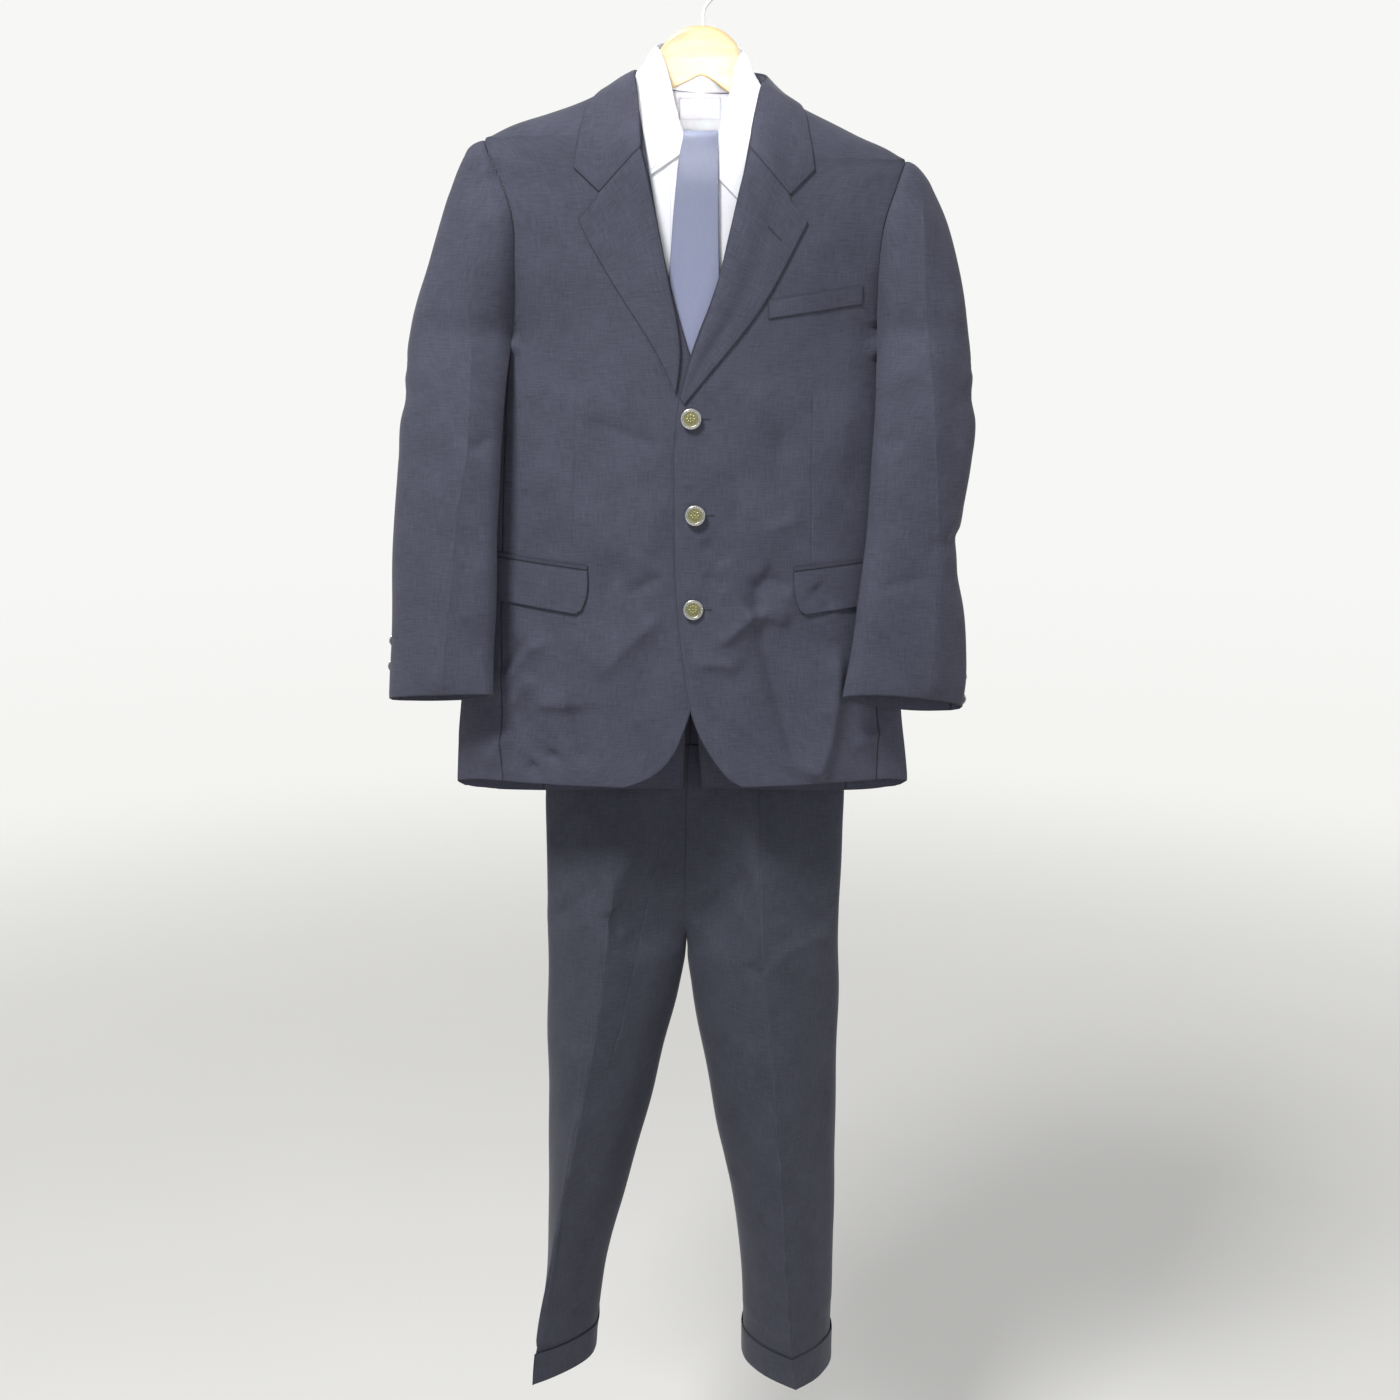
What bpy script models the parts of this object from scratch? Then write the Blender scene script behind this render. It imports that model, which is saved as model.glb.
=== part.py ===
"""A boy's school uniform on its hanger: a navy blazer with three buttons, a white shirt, a slate tie and
trousers with turn-ups, hung one behind the other from one peg.

Lengths below are millimetres, and MM turns them to metres as each mesh is made. The origin is the point of
the peg under the crown of the hanger's hook. +Z is up, the front faces -Y, and +X is the wearer's left.
"""

import math

import bpy
from mathutils import Vector

MM = 0.001
SEAM = 0.3                  # the gap between two pieces that are sewn together
LEFT, RIGHT = 1, -1         # the wearer's sides, which are also the signs of X

SUITING = 1.6               # jacket cloth with its canvas
TROPICAL = 1.2              # trouser cloth
POPLIN = 1.0                # shirt cloth
TIE_CLOTH = 2.4             # the folded tie with its interlining

ARMPIT = -350.0             # level where sleeve and body part
JACKET_FRONT_HEM = -819.0
JACKET_BACK_HEM = -843.0
SHIRT_HEM = -745.0
WAIST_TOP, WAIST_SEAM = -768.0, -800.0
CROTCH = -1053.0
TROUSER_HEM = -1563.0
TURN_UP = 40.0

FINISHES = {
    # name: colour (linear), metallic, roughness
    "suiting": ((0.063, 0.068, 0.092, 1), 0.0, 0.85),
    "trouser_cloth": ((0.055, 0.059, 0.078, 1), 0.0, 0.85),
    "shirt_cotton": ((0.86, 0.87, 0.90, 1), 0.0, 0.75),
    "tie_silk": ((0.27, 0.29, 0.42, 1), 0.0, 0.55),
    "pale_wood": ((0.93, 0.72, 0.42, 1), 0.0, 0.45),
    "white_wire": ((0.85, 0.85, 0.85, 1), 0.0, 0.35),
    "silver_metal": ((0.60, 0.60, 0.57, 1), 1.0, 0.30),
    "dark_snap": ((0.05, 0.05, 0.055, 1), 0.6, 0.40),
}


# ------------------------------------------------------------------ tools


class Table:
    """Short rows under named columns, read at any place along a smooth curve that never overshoots."""

    def __init__(self, columns, *rows):
        self.columns = columns.split()
        self.rows = sorted(rows)

    def slope(self, index, column):
        if index in (0, len(self.rows) - 1):
            return 0.0
        before, here, after = self.rows[index - 1:index + 2]
        rise_in = (here[column] - before[column]) / (here[0] - before[0])
        rise_out = (after[column] - here[column]) / (after[0] - here[0])
        if rise_in * rise_out <= 0:
            return 0.0
        return 2 * rise_in * rise_out / (rise_in + rise_out)

    def __call__(self, name, place):
        column = self.columns.index(name)
        place = min(max(place, self.rows[0][0]), self.rows[-1][0])
        index = next(i for i in range(1, len(self.rows)) if place <= self.rows[i][0])
        low, high = self.rows[index - 1], self.rows[index]
        span = high[0] - low[0]
        t = (place - low[0]) / span
        return (
            low[column] * (1 + 2 * t) * (1 - t) ** 2
            + high[column] * (3 - 2 * t) * t**2
            + span * self.slope(index - 1, column) * t * (1 - t) ** 2
            - span * self.slope(index, column) * (1 - t) * t**2
        )


def mix(start, end, share):
    return start + (end - start) * share


def soft_step(value):
    value = min(max(value, 0.0), 1.0)
    return value * value * (3 - 2 * value)


def spread(start, end, count):
    """count places from start to end, both included."""
    return [mix(start, end, i / (count - 1)) for i in range(count)]


def finish_of(name):
    found = bpy.data.materials.get(name)
    if found:
        return found
    colour, metallic, roughness = FINISHES[name]
    made = bpy.data.materials.new(name)
    made.use_nodes = True
    shader = made.node_tree.nodes["Principled BSDF"]
    shader.inputs["Base Color"].default_value = colour
    shader.inputs["Metallic"].default_value = metallic
    shader.inputs["Roughness"].default_value = roughness
    made.diffuse_color = colour
    return made


def piece(name, finish, points, faces):
    """One sub-part, from points in millimetres."""
    mesh = bpy.data.meshes.new(name)
    mesh.from_pydata([Vector(point) * MM for point in points], [], faces)
    mesh.materials.append(finish_of(finish))
    mesh.shade_smooth()
    mesh.set_sharp_from_angle(angle=math.radians(35))
    made = bpy.data.objects.new(name, mesh)
    bpy.context.scene.collection.objects.link(made)
    return made


def moved_out(surface, u, v, by, steps=(0.002, 0.4)):
    """The point surface(u, v) moved along the surface's normal, and mitred where there is a sharp crease."""
    here = surface(u, v)
    up_it = surface(u, v + steps[1]) - surface(u, v - steps[1])
    before = (here - surface(u - steps[0], v)).cross(up_it).normalized()
    after = (surface(u + steps[0], v) - here).cross(up_it).normalized()
    normal = (before + after).normalized()
    return here + normal * by / max(normal.dot(before), normal.dot(after), 0.45)


def wall(name, finish, surface, across, along, thick, steps=(0.002, 0.4)):
    """A piece of cloth. surface(u, v) is its outer face. across runs round the figure from the front towards
    the wearer's left, and along runs upwards. The inner face is the same points moved in."""
    outer = [surface(u, v) for v in along for u in across]
    inner = [moved_out(surface, u, v, -thick, steps) for v in along for u in across]
    columns, rows, total = len(across), len(along), len(outer)

    def corner(row, column, inside=False):
        return row * columns + column + (total if inside else 0)

    faces = []
    for row in range(rows - 1):
        for column in range(columns - 1):
            ring = [(row, column), (row, column + 1), (row + 1, column + 1), (row + 1, column)]
            points = [outer[corner(*place)] for place in ring]
            if (points[0] - points[2]).length > (points[1] - points[3]).length:
                ring = ring[1:] + ring[:1]
            # both faces are split along the same diagonal, so that a twisted wall keeps its thickness
            for half in (ring[:3], [ring[0], ring[2], ring[3]]):
                faces.append([corner(*place) for place in half])
                faces.append([corner(*place, True) for place in reversed(half)])
        for edge, outward in ((0, True), (columns - 1, False)):
            ring = [corner(row, edge), corner(row + 1, edge), corner(row + 1, edge, True), corner(row, edge, True)]
            faces.append(ring if outward else ring[::-1])
    for column in range(columns - 1):
        for edge, outward in ((0, False), (rows - 1, True)):
            ring = [
                corner(edge, column), corner(edge, column + 1),
                corner(edge, column + 1, True), corner(edge, column, True),
            ]
            faces.append(ring if outward else ring[::-1])
    return piece(name, finish, outer + inner, faces)


def loft(name, finish, rings):
    """A solid skin over rings of equal counts, closed by a face at each end."""
    size = len(rings[0])
    faces = [list(range(size))[::-1]]
    for ring in range(len(rings) - 1):
        for i in range(size):
            j = (i + 1) % size
            low, high = ring * size, (ring + 1) * size
            faces.append([low + i, low + j, high + j, high + i])
    faces.append([(len(rings) - 1) * size + i for i in range(size)])
    return piece(name, finish, [point for ring in rings for point in ring], faces)


def tube(name, finish, path, radius, sides=8):
    """A round wire along path, with its ends closed."""
    rings = []
    side = Vector((0, 1, 0))
    for i, point in enumerate(path):
        ahead = (path[min(i + 1, len(path) - 1)] - path[max(i - 1, 0)]).normalized()
        side = (side - ahead * side.dot(ahead)).normalized()
        up = ahead.cross(side)
        turns = [2 * math.pi * k / sides for k in range(sides)]
        rings.append([point + (side * math.cos(turn) + up * math.sin(turn)) * radius for turn in turns])
    return loft(name, finish, rings)


def turned(name, finish, profile, centre, facing, sides=24):
    """A solid turned round an axis: profile rows are (distance along facing, radius)."""
    facing = facing.normalized()
    side = facing.orthogonal().normalized()
    up = facing.cross(side)
    rings = []
    for height, radius in profile:
        turns = [2 * math.pi * k / sides for k in range(sides)]
        middle = centre + facing * height
        rings.append([middle + (side * math.cos(turn) + up * math.sin(turn)) * radius for turn in turns])
    return loft(name, finish, rings)


# ------------------------------------------------------------------ the jacket's body

# The body is a stack of level rings. reach is where front and back would close, and seam is where the front
# panel ends: at the shoulder line, then at the armhole, then at the side seam.
BODY_SIDES = {
    LEFT: Table(
        "level reach seam back_seam",
        (-850, 226, 190, 160), (-819, 225, 190, 160), (-735, 217, 188, 160), (-650, 214, 186, 158),
        (-540, 211, 184, 158), (-480, 209, 183, 162), (-440, 205, 182, 168), (-410, 199, 181, 174),
        (-380, 190, 181, 178), (ARMPIT, 186, 180.5, 180.5), (-325, 193, 180, 180), (-290, 210, 180, 180),
        (-255, 225, 182, 182), (-232, 229, 188, 188), (-205, 221, 196, 196), (-190, 211, 202, 202),
        (-182, 205, 205, 205), (-150, 141, 141, 141), (-130, 100, 100, 100), (-112, 65, 65, 65), (-104, 52, 52, 52),
    ),
    RIGHT: Table(
        "level reach seam back_seam",
        (-850, -266, -211, -172), (-819, -265, -211, -172), (-734, -257, -210, -172), (-640, -252, -209, -172),
        (-560, -246, -205, -172), (-495, -237, -203, -176), (-450, -226, -200, -180), (-415, -214, -198, -184),
        (-380, -201, -195, -188), (ARMPIT, -196.5, -190, -190), (-325, -205, -188, -188),
        (-290, -224, -186, -186), (-251, -240, -185, -185), (-213, -244, -192, -192), (-190, -234, -202, -202),
        (-172, -222, -211, -211), (-161, -214, -214, -214), (-141, -161, -161, -161), (-118, -100, -100, -100),
        (-98, -66, -66, -66), (-90, -53, -53, -53),
    ),
}
# middle is the ring's own centre line, side the depth where front and back meet, front and back how far each
# stands out from it, and pinch how much flatter the sides are than an ellipse. ease and inset are how much
# flatter and narrower the shirt's ring is.
BODY_DEPTHS = Table(
    "level middle side front back pinch ease inset",
    (-850, -20, 6, 60, 27, 0.34, 10.5, 7), (-700, -20, 5, 60, 28, 0.34, 10.5, 7),
    (-500, -18, 4, 61, 30, 0.32, 10.5, 7), (-370, -14, 3, 60, 34, 0.30, 10.5, 7), (-290, -10, 2, 59, 39, 0.24, 10, 5),
    (-213, -10, 1, 58, 45, 0.15, 9, 4.0), (-173, -8, 0, 55, 48, 0.06, 7.5, 2.8), (-141, -5, 0, 50, 50, 0.0, 8, 2.5),
    (-118, -3, -1, 44, 52, 0.0, 7.6, 3.0), (-98, 0, -1, 38, 54, 0.0, 6, 2.6),
)
# Inner edges of the two fronts: the roll line of the lapel, then the buttoned edge, then the cutaway.
FRONT_EDGES = {
    LEFT: Table(
        "level x",
        (-822, 48), (-816, 37), (-806, 26), (-791, 15), (-767, 1), (-737, -10), (-681, -18.6), (-629, -25),
        (-560, -26.5), (-430, -26), (-413, -21), (-371, -9), (-308, 15), (-242, 34), (-190, 44), (-150, 52),
        (-137, 56), (-125, 62.5), (-115, 67.8), (-104, 68),
    ),
    RIGHT: Table(
        "level x",
        (-822, -84), (-816, -68), (-805, -47), (-785, -29), (-761, -18), (-737, -10.4), (-700, 2), (-650, 10),
        (-600, 12), (-440, 12), (-415, 6), (-371, -10), (-294, -31.5), (-213, -47), (-139, -59), (-120, -63),
        (-108, -66.8), (-101, -69.5), (-95, -70),
    ),
}
# The seam down the middle of the back, and half the opening of the vent below it.
BACK_CENTRE = Table("level x open", (-850, -8, 11), (-740, -9.5, 5.5), (-600, -10, 0.25), (-100, -3.2, 0.25))


def body_reach(side, level, inset):
    """How far out the ring reaches: inset moves it in, square to the sloping shoulder line."""
    table = BODY_SIDES[side]
    return side * min(abs(table("reach", level + 1.08 * inset)), abs(table("reach", level)) - inset)


def hem_drop(turn, level):
    """How far below its own row a point near the hem lies: the back is cut longer than the front."""
    turn = (turn + 180) % 360 - 180
    long_back = soft_step((abs(turn) - 50) / 100)
    near_hem = soft_step((-640 - level) / 180)
    return (JACKET_BACK_HEM - JACKET_FRONT_HEM) * long_back * near_hem


def body_point(turn, level, inset=0.0, ease=0.0):
    """A point of the jacket's outer face. turn is in degrees: 0 the front, 90 the wearer's left, 180 the
    back. inset makes the ring smaller, and ease flattens it, for what is worn under it."""
    turn = (turn + 180) % 360 - 180
    side = LEFT if turn >= 0 else RIGHT
    middle, edge = BODY_DEPTHS("middle", level), BODY_DEPTHS("side", level)
    away = math.sin(math.radians(abs(turn)))
    depth = math.cos(math.radians(turn)) * (1 - BODY_DEPTHS("pinch", level) * away**2)
    depth *= BODY_DEPTHS("front" if depth > 0 else "back", level) - ease
    return Vector((middle + (body_reach(side, level, inset) - middle) * away, edge - depth, level))


def jacket_point(turn, level):
    return body_point(turn, level) + Vector((0, 0, hem_drop(turn, level)))


def turn_at(x, level, inset=0.0, back=False):
    """The turn whose point lies at x."""
    middle = BODY_DEPTHS("middle", level)
    side = LEFT if x >= middle else RIGHT
    share = (x - middle) / (body_reach(side, level, inset) - middle)
    turn = math.degrees(math.asin(min(share, 1.0)))
    return side * (180 - turn if back else turn)


def on_front(x, z, lift):
    """The point of the jacket's front at x and z, moved out by lift."""
    y = body_point(turn_at(x, z), z).y
    return Vector((x, y - lift, z))


def outside(point, lift, inset=0.0, ease=0.0):
    """The point, moved out of the body if need be until it stands lift clear of its face."""
    def depth_in(spot):
        middle, edge = BODY_DEPTHS("middle", spot.z), BODY_DEPTHS("side", spot.z)
        side = LEFT if spot.x > middle else RIGHT
        away = (spot.x - middle) / (body_reach(side, spot.z, inset) - middle)
        thick = BODY_DEPTHS("front" if spot.y < edge else "back", spot.z) - ease
        thick *= 1 - BODY_DEPTHS("pinch", spot.z) * min(away, 1) ** 2
        return math.hypot(away, (spot.y - edge) / thick) - 1

    for _ in range(4):
        here = depth_in(point)
        slope = Vector([depth_in(point + Vector(axis)) - here for axis in ((1, 0, 0), (0, 1, 0), (0, 0, 1))])
        gap = here / slope.length
        if gap >= lift:
            break
        point = point + slope.normalized() * (lift - gap)
    return point


RIDGE = 0.25                # half the gap between front and back along the shoulder line, in degrees


def front_limits(side, level):
    """The turns between which a front panel lies, from its inner edge to its seam."""
    start = turn_at(FRONT_EDGES[side]("x", level), level)
    if level > SHOULDER_END[side]:
        return start, side * (90 - RIDGE)
    seam = BODY_SIDES[side]("seam", level) - side * SEAM / 2
    return start, turn_at(seam, level)


SHOULDER_END = {LEFT: -182.0, RIGHT: -161.0}
NECK_POINT = {LEFT: -115.0, RIGHT: -101.0}
BACK_NECK = -112.0


def ordered(side, share):
    """Across runs towards the wearer's left, so on the right side it starts at the far end."""
    return share if side == LEFT else 1 - share


def in_order(side, start, end, share):
    return mix(start, end, ordered(side, share))


def front_columns(side):
    """Closer together towards the shoulder line, where the ring turns most."""
    return sorted(ordered(side, share) for share in (0, 0.15, 0.32, 0.48, 0.64, 0.78, 0.9, 1))


def jacket_front(side):
    def surface(u, level):
        start, end = front_limits(side, level)
        point = jacket_point(in_order(side, start, end, u), level)
        if side == RIGHT:
            over_edge = FRONT_EDGES[LEFT]("x", level)
            point.y += (SUITING + 0.6) * soft_step((point.x - over_edge + 20) / 14)
        return point

    top = NECK_POINT[side]
    end = SHOULDER_END[side]
    levels = [-820, -812, -800, -783, -760, -725, -670, -600, -530, -460, -410, -380, ARMPIT, -325, -290]
    levels += [-250, -215, end - 12, end, mix(end, top, 0.16), mix(end, top, 0.38), mix(end, top, 0.66), mix(end, top, 0.84), top]
    name = "jacket_front_left" if side == LEFT else "jacket_front_right"
    wall(name, "suiting", surface, front_columns(side), levels, SUITING)


def jacket_side(side):
    def surface(u, level):
        front = turn_at(BODY_SIDES[side]("seam", level) + side * SEAM / 2, level)
        back = turn_at(BODY_SIDES[side]("back_seam", level) + side * SEAM / 2, level, back=True)
        return jacket_point(in_order(side, front, back, u), level)

    levels = [-820, -783, -725, -670, -600, -530, -460, -410, -380, ARMPIT - 8]
    name = "jacket_side_left" if side == LEFT else "jacket_side_right"
    wall(name, "suiting", surface, spread(0, 1, 6), levels, SUITING)


def jacket_back(side):
    def surface(u, level):
        if level > SHOULDER_END[side]:
            outer = side * (90 + RIDGE)
            # the neckline is level at the middle of the back, between two shoulders of unequal height
            level += (BACK_NECK - top) * ordered(side, u) * (level - end) / (top - end)
        else:
            outer = turn_at(BODY_SIDES[side]("back_seam", level) - side * SEAM / 2, level, back=True)
        centre = turn_at(BACK_CENTRE("x", level) + side * BACK_CENTRE("open", level), level, back=True)
        return jacket_point(in_order(side, outer, centre + (side * 360 if side * centre < 0 else 0), u), level)

    end, top = SHOULDER_END[side], NECK_POINT[side] - 2
    levels = [-820, -783, -725, -670, -600, -530, -460, -410, -380, ARMPIT, -325, -290, -250, -215]
    levels += [end - 12, end, mix(end, top, 0.16), mix(end, top, 0.38), mix(end, top, 0.66), mix(end, top, 0.84), top]
    name = "jacket_back_left" if side == LEFT else "jacket_back_right"
    wall(name, "suiting", surface, sorted(ordered(side, share) for share in (0, 0.06, 0.16, 0.34, 0.64, 1)), levels,
         SUITING)


# ------------------------------------------------------------------ the jacket's sleeves

# in_x and in_y are the inner fold below the armpit; above it the sleeve starts at the armhole. out is the
# outer silhouette, and front and back are how far the two faces bulge from the line between the folds.
SLEEVES = {
    LEFT: Table(
        "level in_x in_y out_x out_y front back",
        (-750, 147, -60, 279, -14, 22, 18), (-715, 148, -60, 279, -14, 22, 18),
        (-660, 157, -58, 279, -14, 24, 19), (-623, 162, -56, 275, -15, 25, 19),
        (-592, 166, -54, 266, -16, 25, 19), (-562, 169, -50, 261.5, -17, 25, 19),
        (-530, 171, -47, 269, -15, 26, 20), (-498, 173, -45, 276, -12, 27, 21),
        (-447, 176, -41, 280, -9, 28, 22), (-415, 177.5, -36, 279.5, -7, 28, 22), (-392, 178.5, -29, 278, -6, 28, 19),
        (-370, 180, -19, 276, -5, 28, 13), (ARMPIT, 180.5, -8, 273.5, -4, 28, 13), (-333, 180, -8, 271, -3, 27, 17),
        (-290, 180, 2, 262, -2, 22, 17), (-252, 182, 1, 252, 0, 17, 13), (-225, 190, 1, 241, 0, 12, 10),
        (-200, 198, 0, 228, 0, 8, 7), (-190, 202, 0, 219, 0, 6, 6), (-185, 203, 0, 212, 0, 4, 4),
        (-182, 205, 0, 207, 0, 2, 2),
    ),
    RIGHT: Table(
        "level in_x in_y out_x out_y front back",
        (-750, -214, -57, -332, -10, 22, 18), (-715, -214, -57, -331, -10, 22, 18),
        (-665, -212, -55, -325.5, -10, 24, 19), (-581, -208, -53, -320, -10, 26, 20),
        (-498, -204, -50, -311.5, -10, 27, 21), (-455, -200, -46, -307, -9, 28, 22),
        (-420, -198, -40, -303.5, -8, 28, 22), (-395, -195.5, -32, -301, -7, 28, 19),
        (-372, -193, -20, -298.5, -6, 28, 13), (ARMPIT, -190.5, -9, -295.5, -5, 28, 13),
        (-325, -188, -9, -290, -3, 27, 17), (-281, -186, 2, -274, -2, 21, 16), (-236, -188, 1, -257, 0, 15, 12),
        (-205, -196, 1, -246, 0, 10, 9), (-180, -207, 0, -237, 0, 8, 7), (-171, -211, 0, -233, 0, 6, 6),
        (-165, -212, 0, -225, 0, 4, 4), (-161, -214, 0, -217, 0, 2, 2),
    ),
}
CUFF = -716.0
CUFF_SLOPE = {LEFT: 30.0, RIGHT: 20.0}


def between_folds(start, end, bulge, share, towards):
    """A half ellipse from start to end, seen from above, that bulges towards the front (-1) or back (+1)."""
    chord = end - start
    out = Vector((-chord.y, chord.x, 0)).normalized()
    if out.y * towards < 0:
        out = -out
    swing = math.pi * share
    return start + chord * (1 - math.cos(swing)) / 2 + out * bulge * math.sin(swing)


def sleeve_point(side, share, level, inset=0.0):
    """share 0 is the inner fold or the armhole's front, 0.5 the outer fold, 1 the inner fold again."""
    table = SLEEVES[side]
    outer = Vector((table("out_x", level) - side * inset * 2, table("out_y", level), 0))
    if level > ARMPIT:
        seam = BODY_SIDES[side]("seam", level)
        seam_level = min(level, SHOULDER_END[side])
        front = body_point(turn_at(seam, seam_level), seam_level, ease=inset * 1.6)
        back = body_point(turn_at(seam, seam_level, back=True), seam_level, ease=inset * 1.6)
        front.x = back.x = seam + side * SEAM / 2
        front.y += inset * 0.5
        back.y -= inset * 0.5
    else:
        front = Vector((table("in_x", level) + side * (SEAM / 2 + inset), table("in_y", level), 0))
        back = front.copy()
    front.z = back.z = 0
    if share <= 0.5:
        point = between_folds(front, outer, max(table("front", level) - inset, 1), share * 2, -1)
    else:
        point = between_folds(outer, back, max(table("back", level) - inset * 1.3, 1), share * 2 - 1, 1)
    slope = CUFF_SLOPE[side] * (1 - math.cos(2 * math.pi * (share - 0.12))) / 2
    point.z = level - slope * soft_step((-560 - level) / 150)
    return point


def sleeve_split(level):
    """The share at which the top sleeve ends and the under sleeve starts: the back seam."""
    return mix(0.997, 0.58, soft_step((ARMPIT - level) / 90))


def jacket_sleeve(side):
    word = "left" if side == LEFT else "right"
    top = -182 if side == LEFT else -161

    def top_surface(u, level):
        return sleeve_point(side, ordered(side, u) * sleeve_split(level), level)

    def under_surface(u, level):
        start = sleeve_split(level) + mix(0.0015, 0.005, soft_step((level + 440) / 40))
        return sleeve_point(side, mix(start, 0.9985, ordered(side, u)), level)

    closed = [CUFF, -670, -623, -592, -562, -530, -480, -430, -395, ARMPIT - 16, ARMPIT - 4]
    cap = [-325, -285, -245, -215, top - 18, top - 8, top - 3.5, top - 1.2]
    wall(f"jacket_top_sleeve_{word}", "suiting", top_surface, spread(0, 1, 11), closed + cap, SUITING)
    wall(f"jacket_under_sleeve_{word}", "suiting", under_surface, spread(0, 1, 6), closed[:-1], SUITING)


# ------------------------------------------------------------------ lapels, collar, pockets and buttons

# Each lapel is ruled from its roll line to its outer edge. The top row is the gorge and the notch's lower side.
LAPELS = {
    LEFT: Table(
        "share roll_x roll_z edge_x edge_z",
        (0.0, -20, -414, -16, -420), (0.12, -11, -380, 0, -401), (0.5, 15, -308, 63, -323), (0.85, 40, -206, 96, -264),
        (1.0, 48.5, -174.5, 106.5, -243.5),
    ),
    RIGHT: Table(
        "share roll_x roll_z edge_x edge_z",
        (0.0, -23.5, -404, -25, -409), (0.12, -19.5, -372, -40, -376), (0.5, -33, -290, -88.5, -299),
        (0.85, -52, -196, -113, -256), (1.0, -57.5, -173.5, -120, -241),
    ),
}
LAPEL_LIFT = 1.08           # from the front's outer face to the lapel's inner face, with the roll's softness
ROLL = 3.2                  # how much further out the lapel stands along its roll


def lapel(side):
    table = LAPELS[side]

    def surface(u, share):
        from_roll = ordered(side, u)
        x = mix(table("roll_x", share), table("edge_x", share), from_roll)
        z = mix(table("roll_z", share), table("edge_z", share), from_roll)
        opening = soft_step(share / 0.3)
        lift = LAPEL_LIFT + SUITING + ROLL * opening * math.sin(math.pi * min(from_roll * 1.6 + 0.18, 1))
        return on_front(x, z, lift)

    word = "left" if side == LEFT else "right"
    rows = [0.0, 0.06, 0.14, 0.28, 0.42, 0.56, 0.7, 0.85, 1.0]
    wall(f"jacket_lapel_{word}", "suiting", surface, [0, 0.12, 0.3, 0.55, 0.8, 1], rows, SUITING, (0.002, 0.002))


# The collar's half rounds: each row is a place round the neck, from the gorge (0) to the middle of the back
# (1), with the fold and the lower edge of the fall outside it. on_body is 1 where the fall lies on the front.
COLLARS = {
    LEFT: Table(
        "share fold_x fold_y fold_z edge_x edge_y edge_z on_body",
        (0.0, 48.5, -49, -173, 111, -40, -194, 1),
        (0.14, 50, -48, -155, 107, -35, -176, 1),
        (0.28, 54, -44, -136, 102, -28, -156, 1),
        (0.42, 60, -30, -114, 98, -12, -133, 0),
        (0.56, 67, 2, -101, 89, 16, -122, 0),
        (0.78, 47, 43, -92, 60, 42, -127, 0),
        (1.0, -2, 56, -88, -2, 51, -132, 0),
    ),
    RIGHT: Table(
        "share fold_x fold_y fold_z edge_x edge_y edge_z on_body",
        (0.0, -57.5, -48, -172, -122, -40, -192, 1),
        (0.14, -58, -47, -154, -117, -34, -170, 1),
        (0.28, -59.5, -43, -133, -109, -28, -146, 1),
        (0.42, -63, -35, -108, -97, -11, -121, 0),
        (0.49, -65, -19, -99.5, -93, 3, -115, 0),
        (0.56, -66.5, 2, -95, -88, 16, -111, 0),
        (0.78, -48, 43, -90, -62, 42, -122, 0),
        (1.0, -2, 56, -88, -2, 51, -132, 0),
    ),
}
NOTCH_DIP = {LEFT: 32.0, RIGHT: 31.0}
NOTCH_AT = 0.62             # share of the collar's end, from fold to corner, where the notch is cut


def round_neck(tables, place):
    """place runs round the neck from the wearer's left (0) behind it to the right (1)."""
    return (tables[LEFT], place * 2) if place <= 0.5 else (tables[RIGHT], 2 - place * 2)


def collar_fold_and_edge(place):
    table, share = round_neck(COLLARS, place)
    fold, edge = (Vector([table(f"{what}_{axis}", share) for axis in "xyz"]) for what in ("fold", "edge"))
    lying = table("on_body", share)
    fold.y = mix(fold.y, on_front(fold.x, fold.z, LAPEL_LIFT + SUITING + ROLL).y, lying)
    over_cloth = soft_step((NECK_POINT[LEFT if place <= 0.5 else RIGHT] - fold.z) / 5)
    fold = fold.lerp(outside(fold, SUITING + 0.7), over_cloth)
    return fold, outside(edge, LAPEL_LIFT + SUITING + 0.3), share, lying


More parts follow.
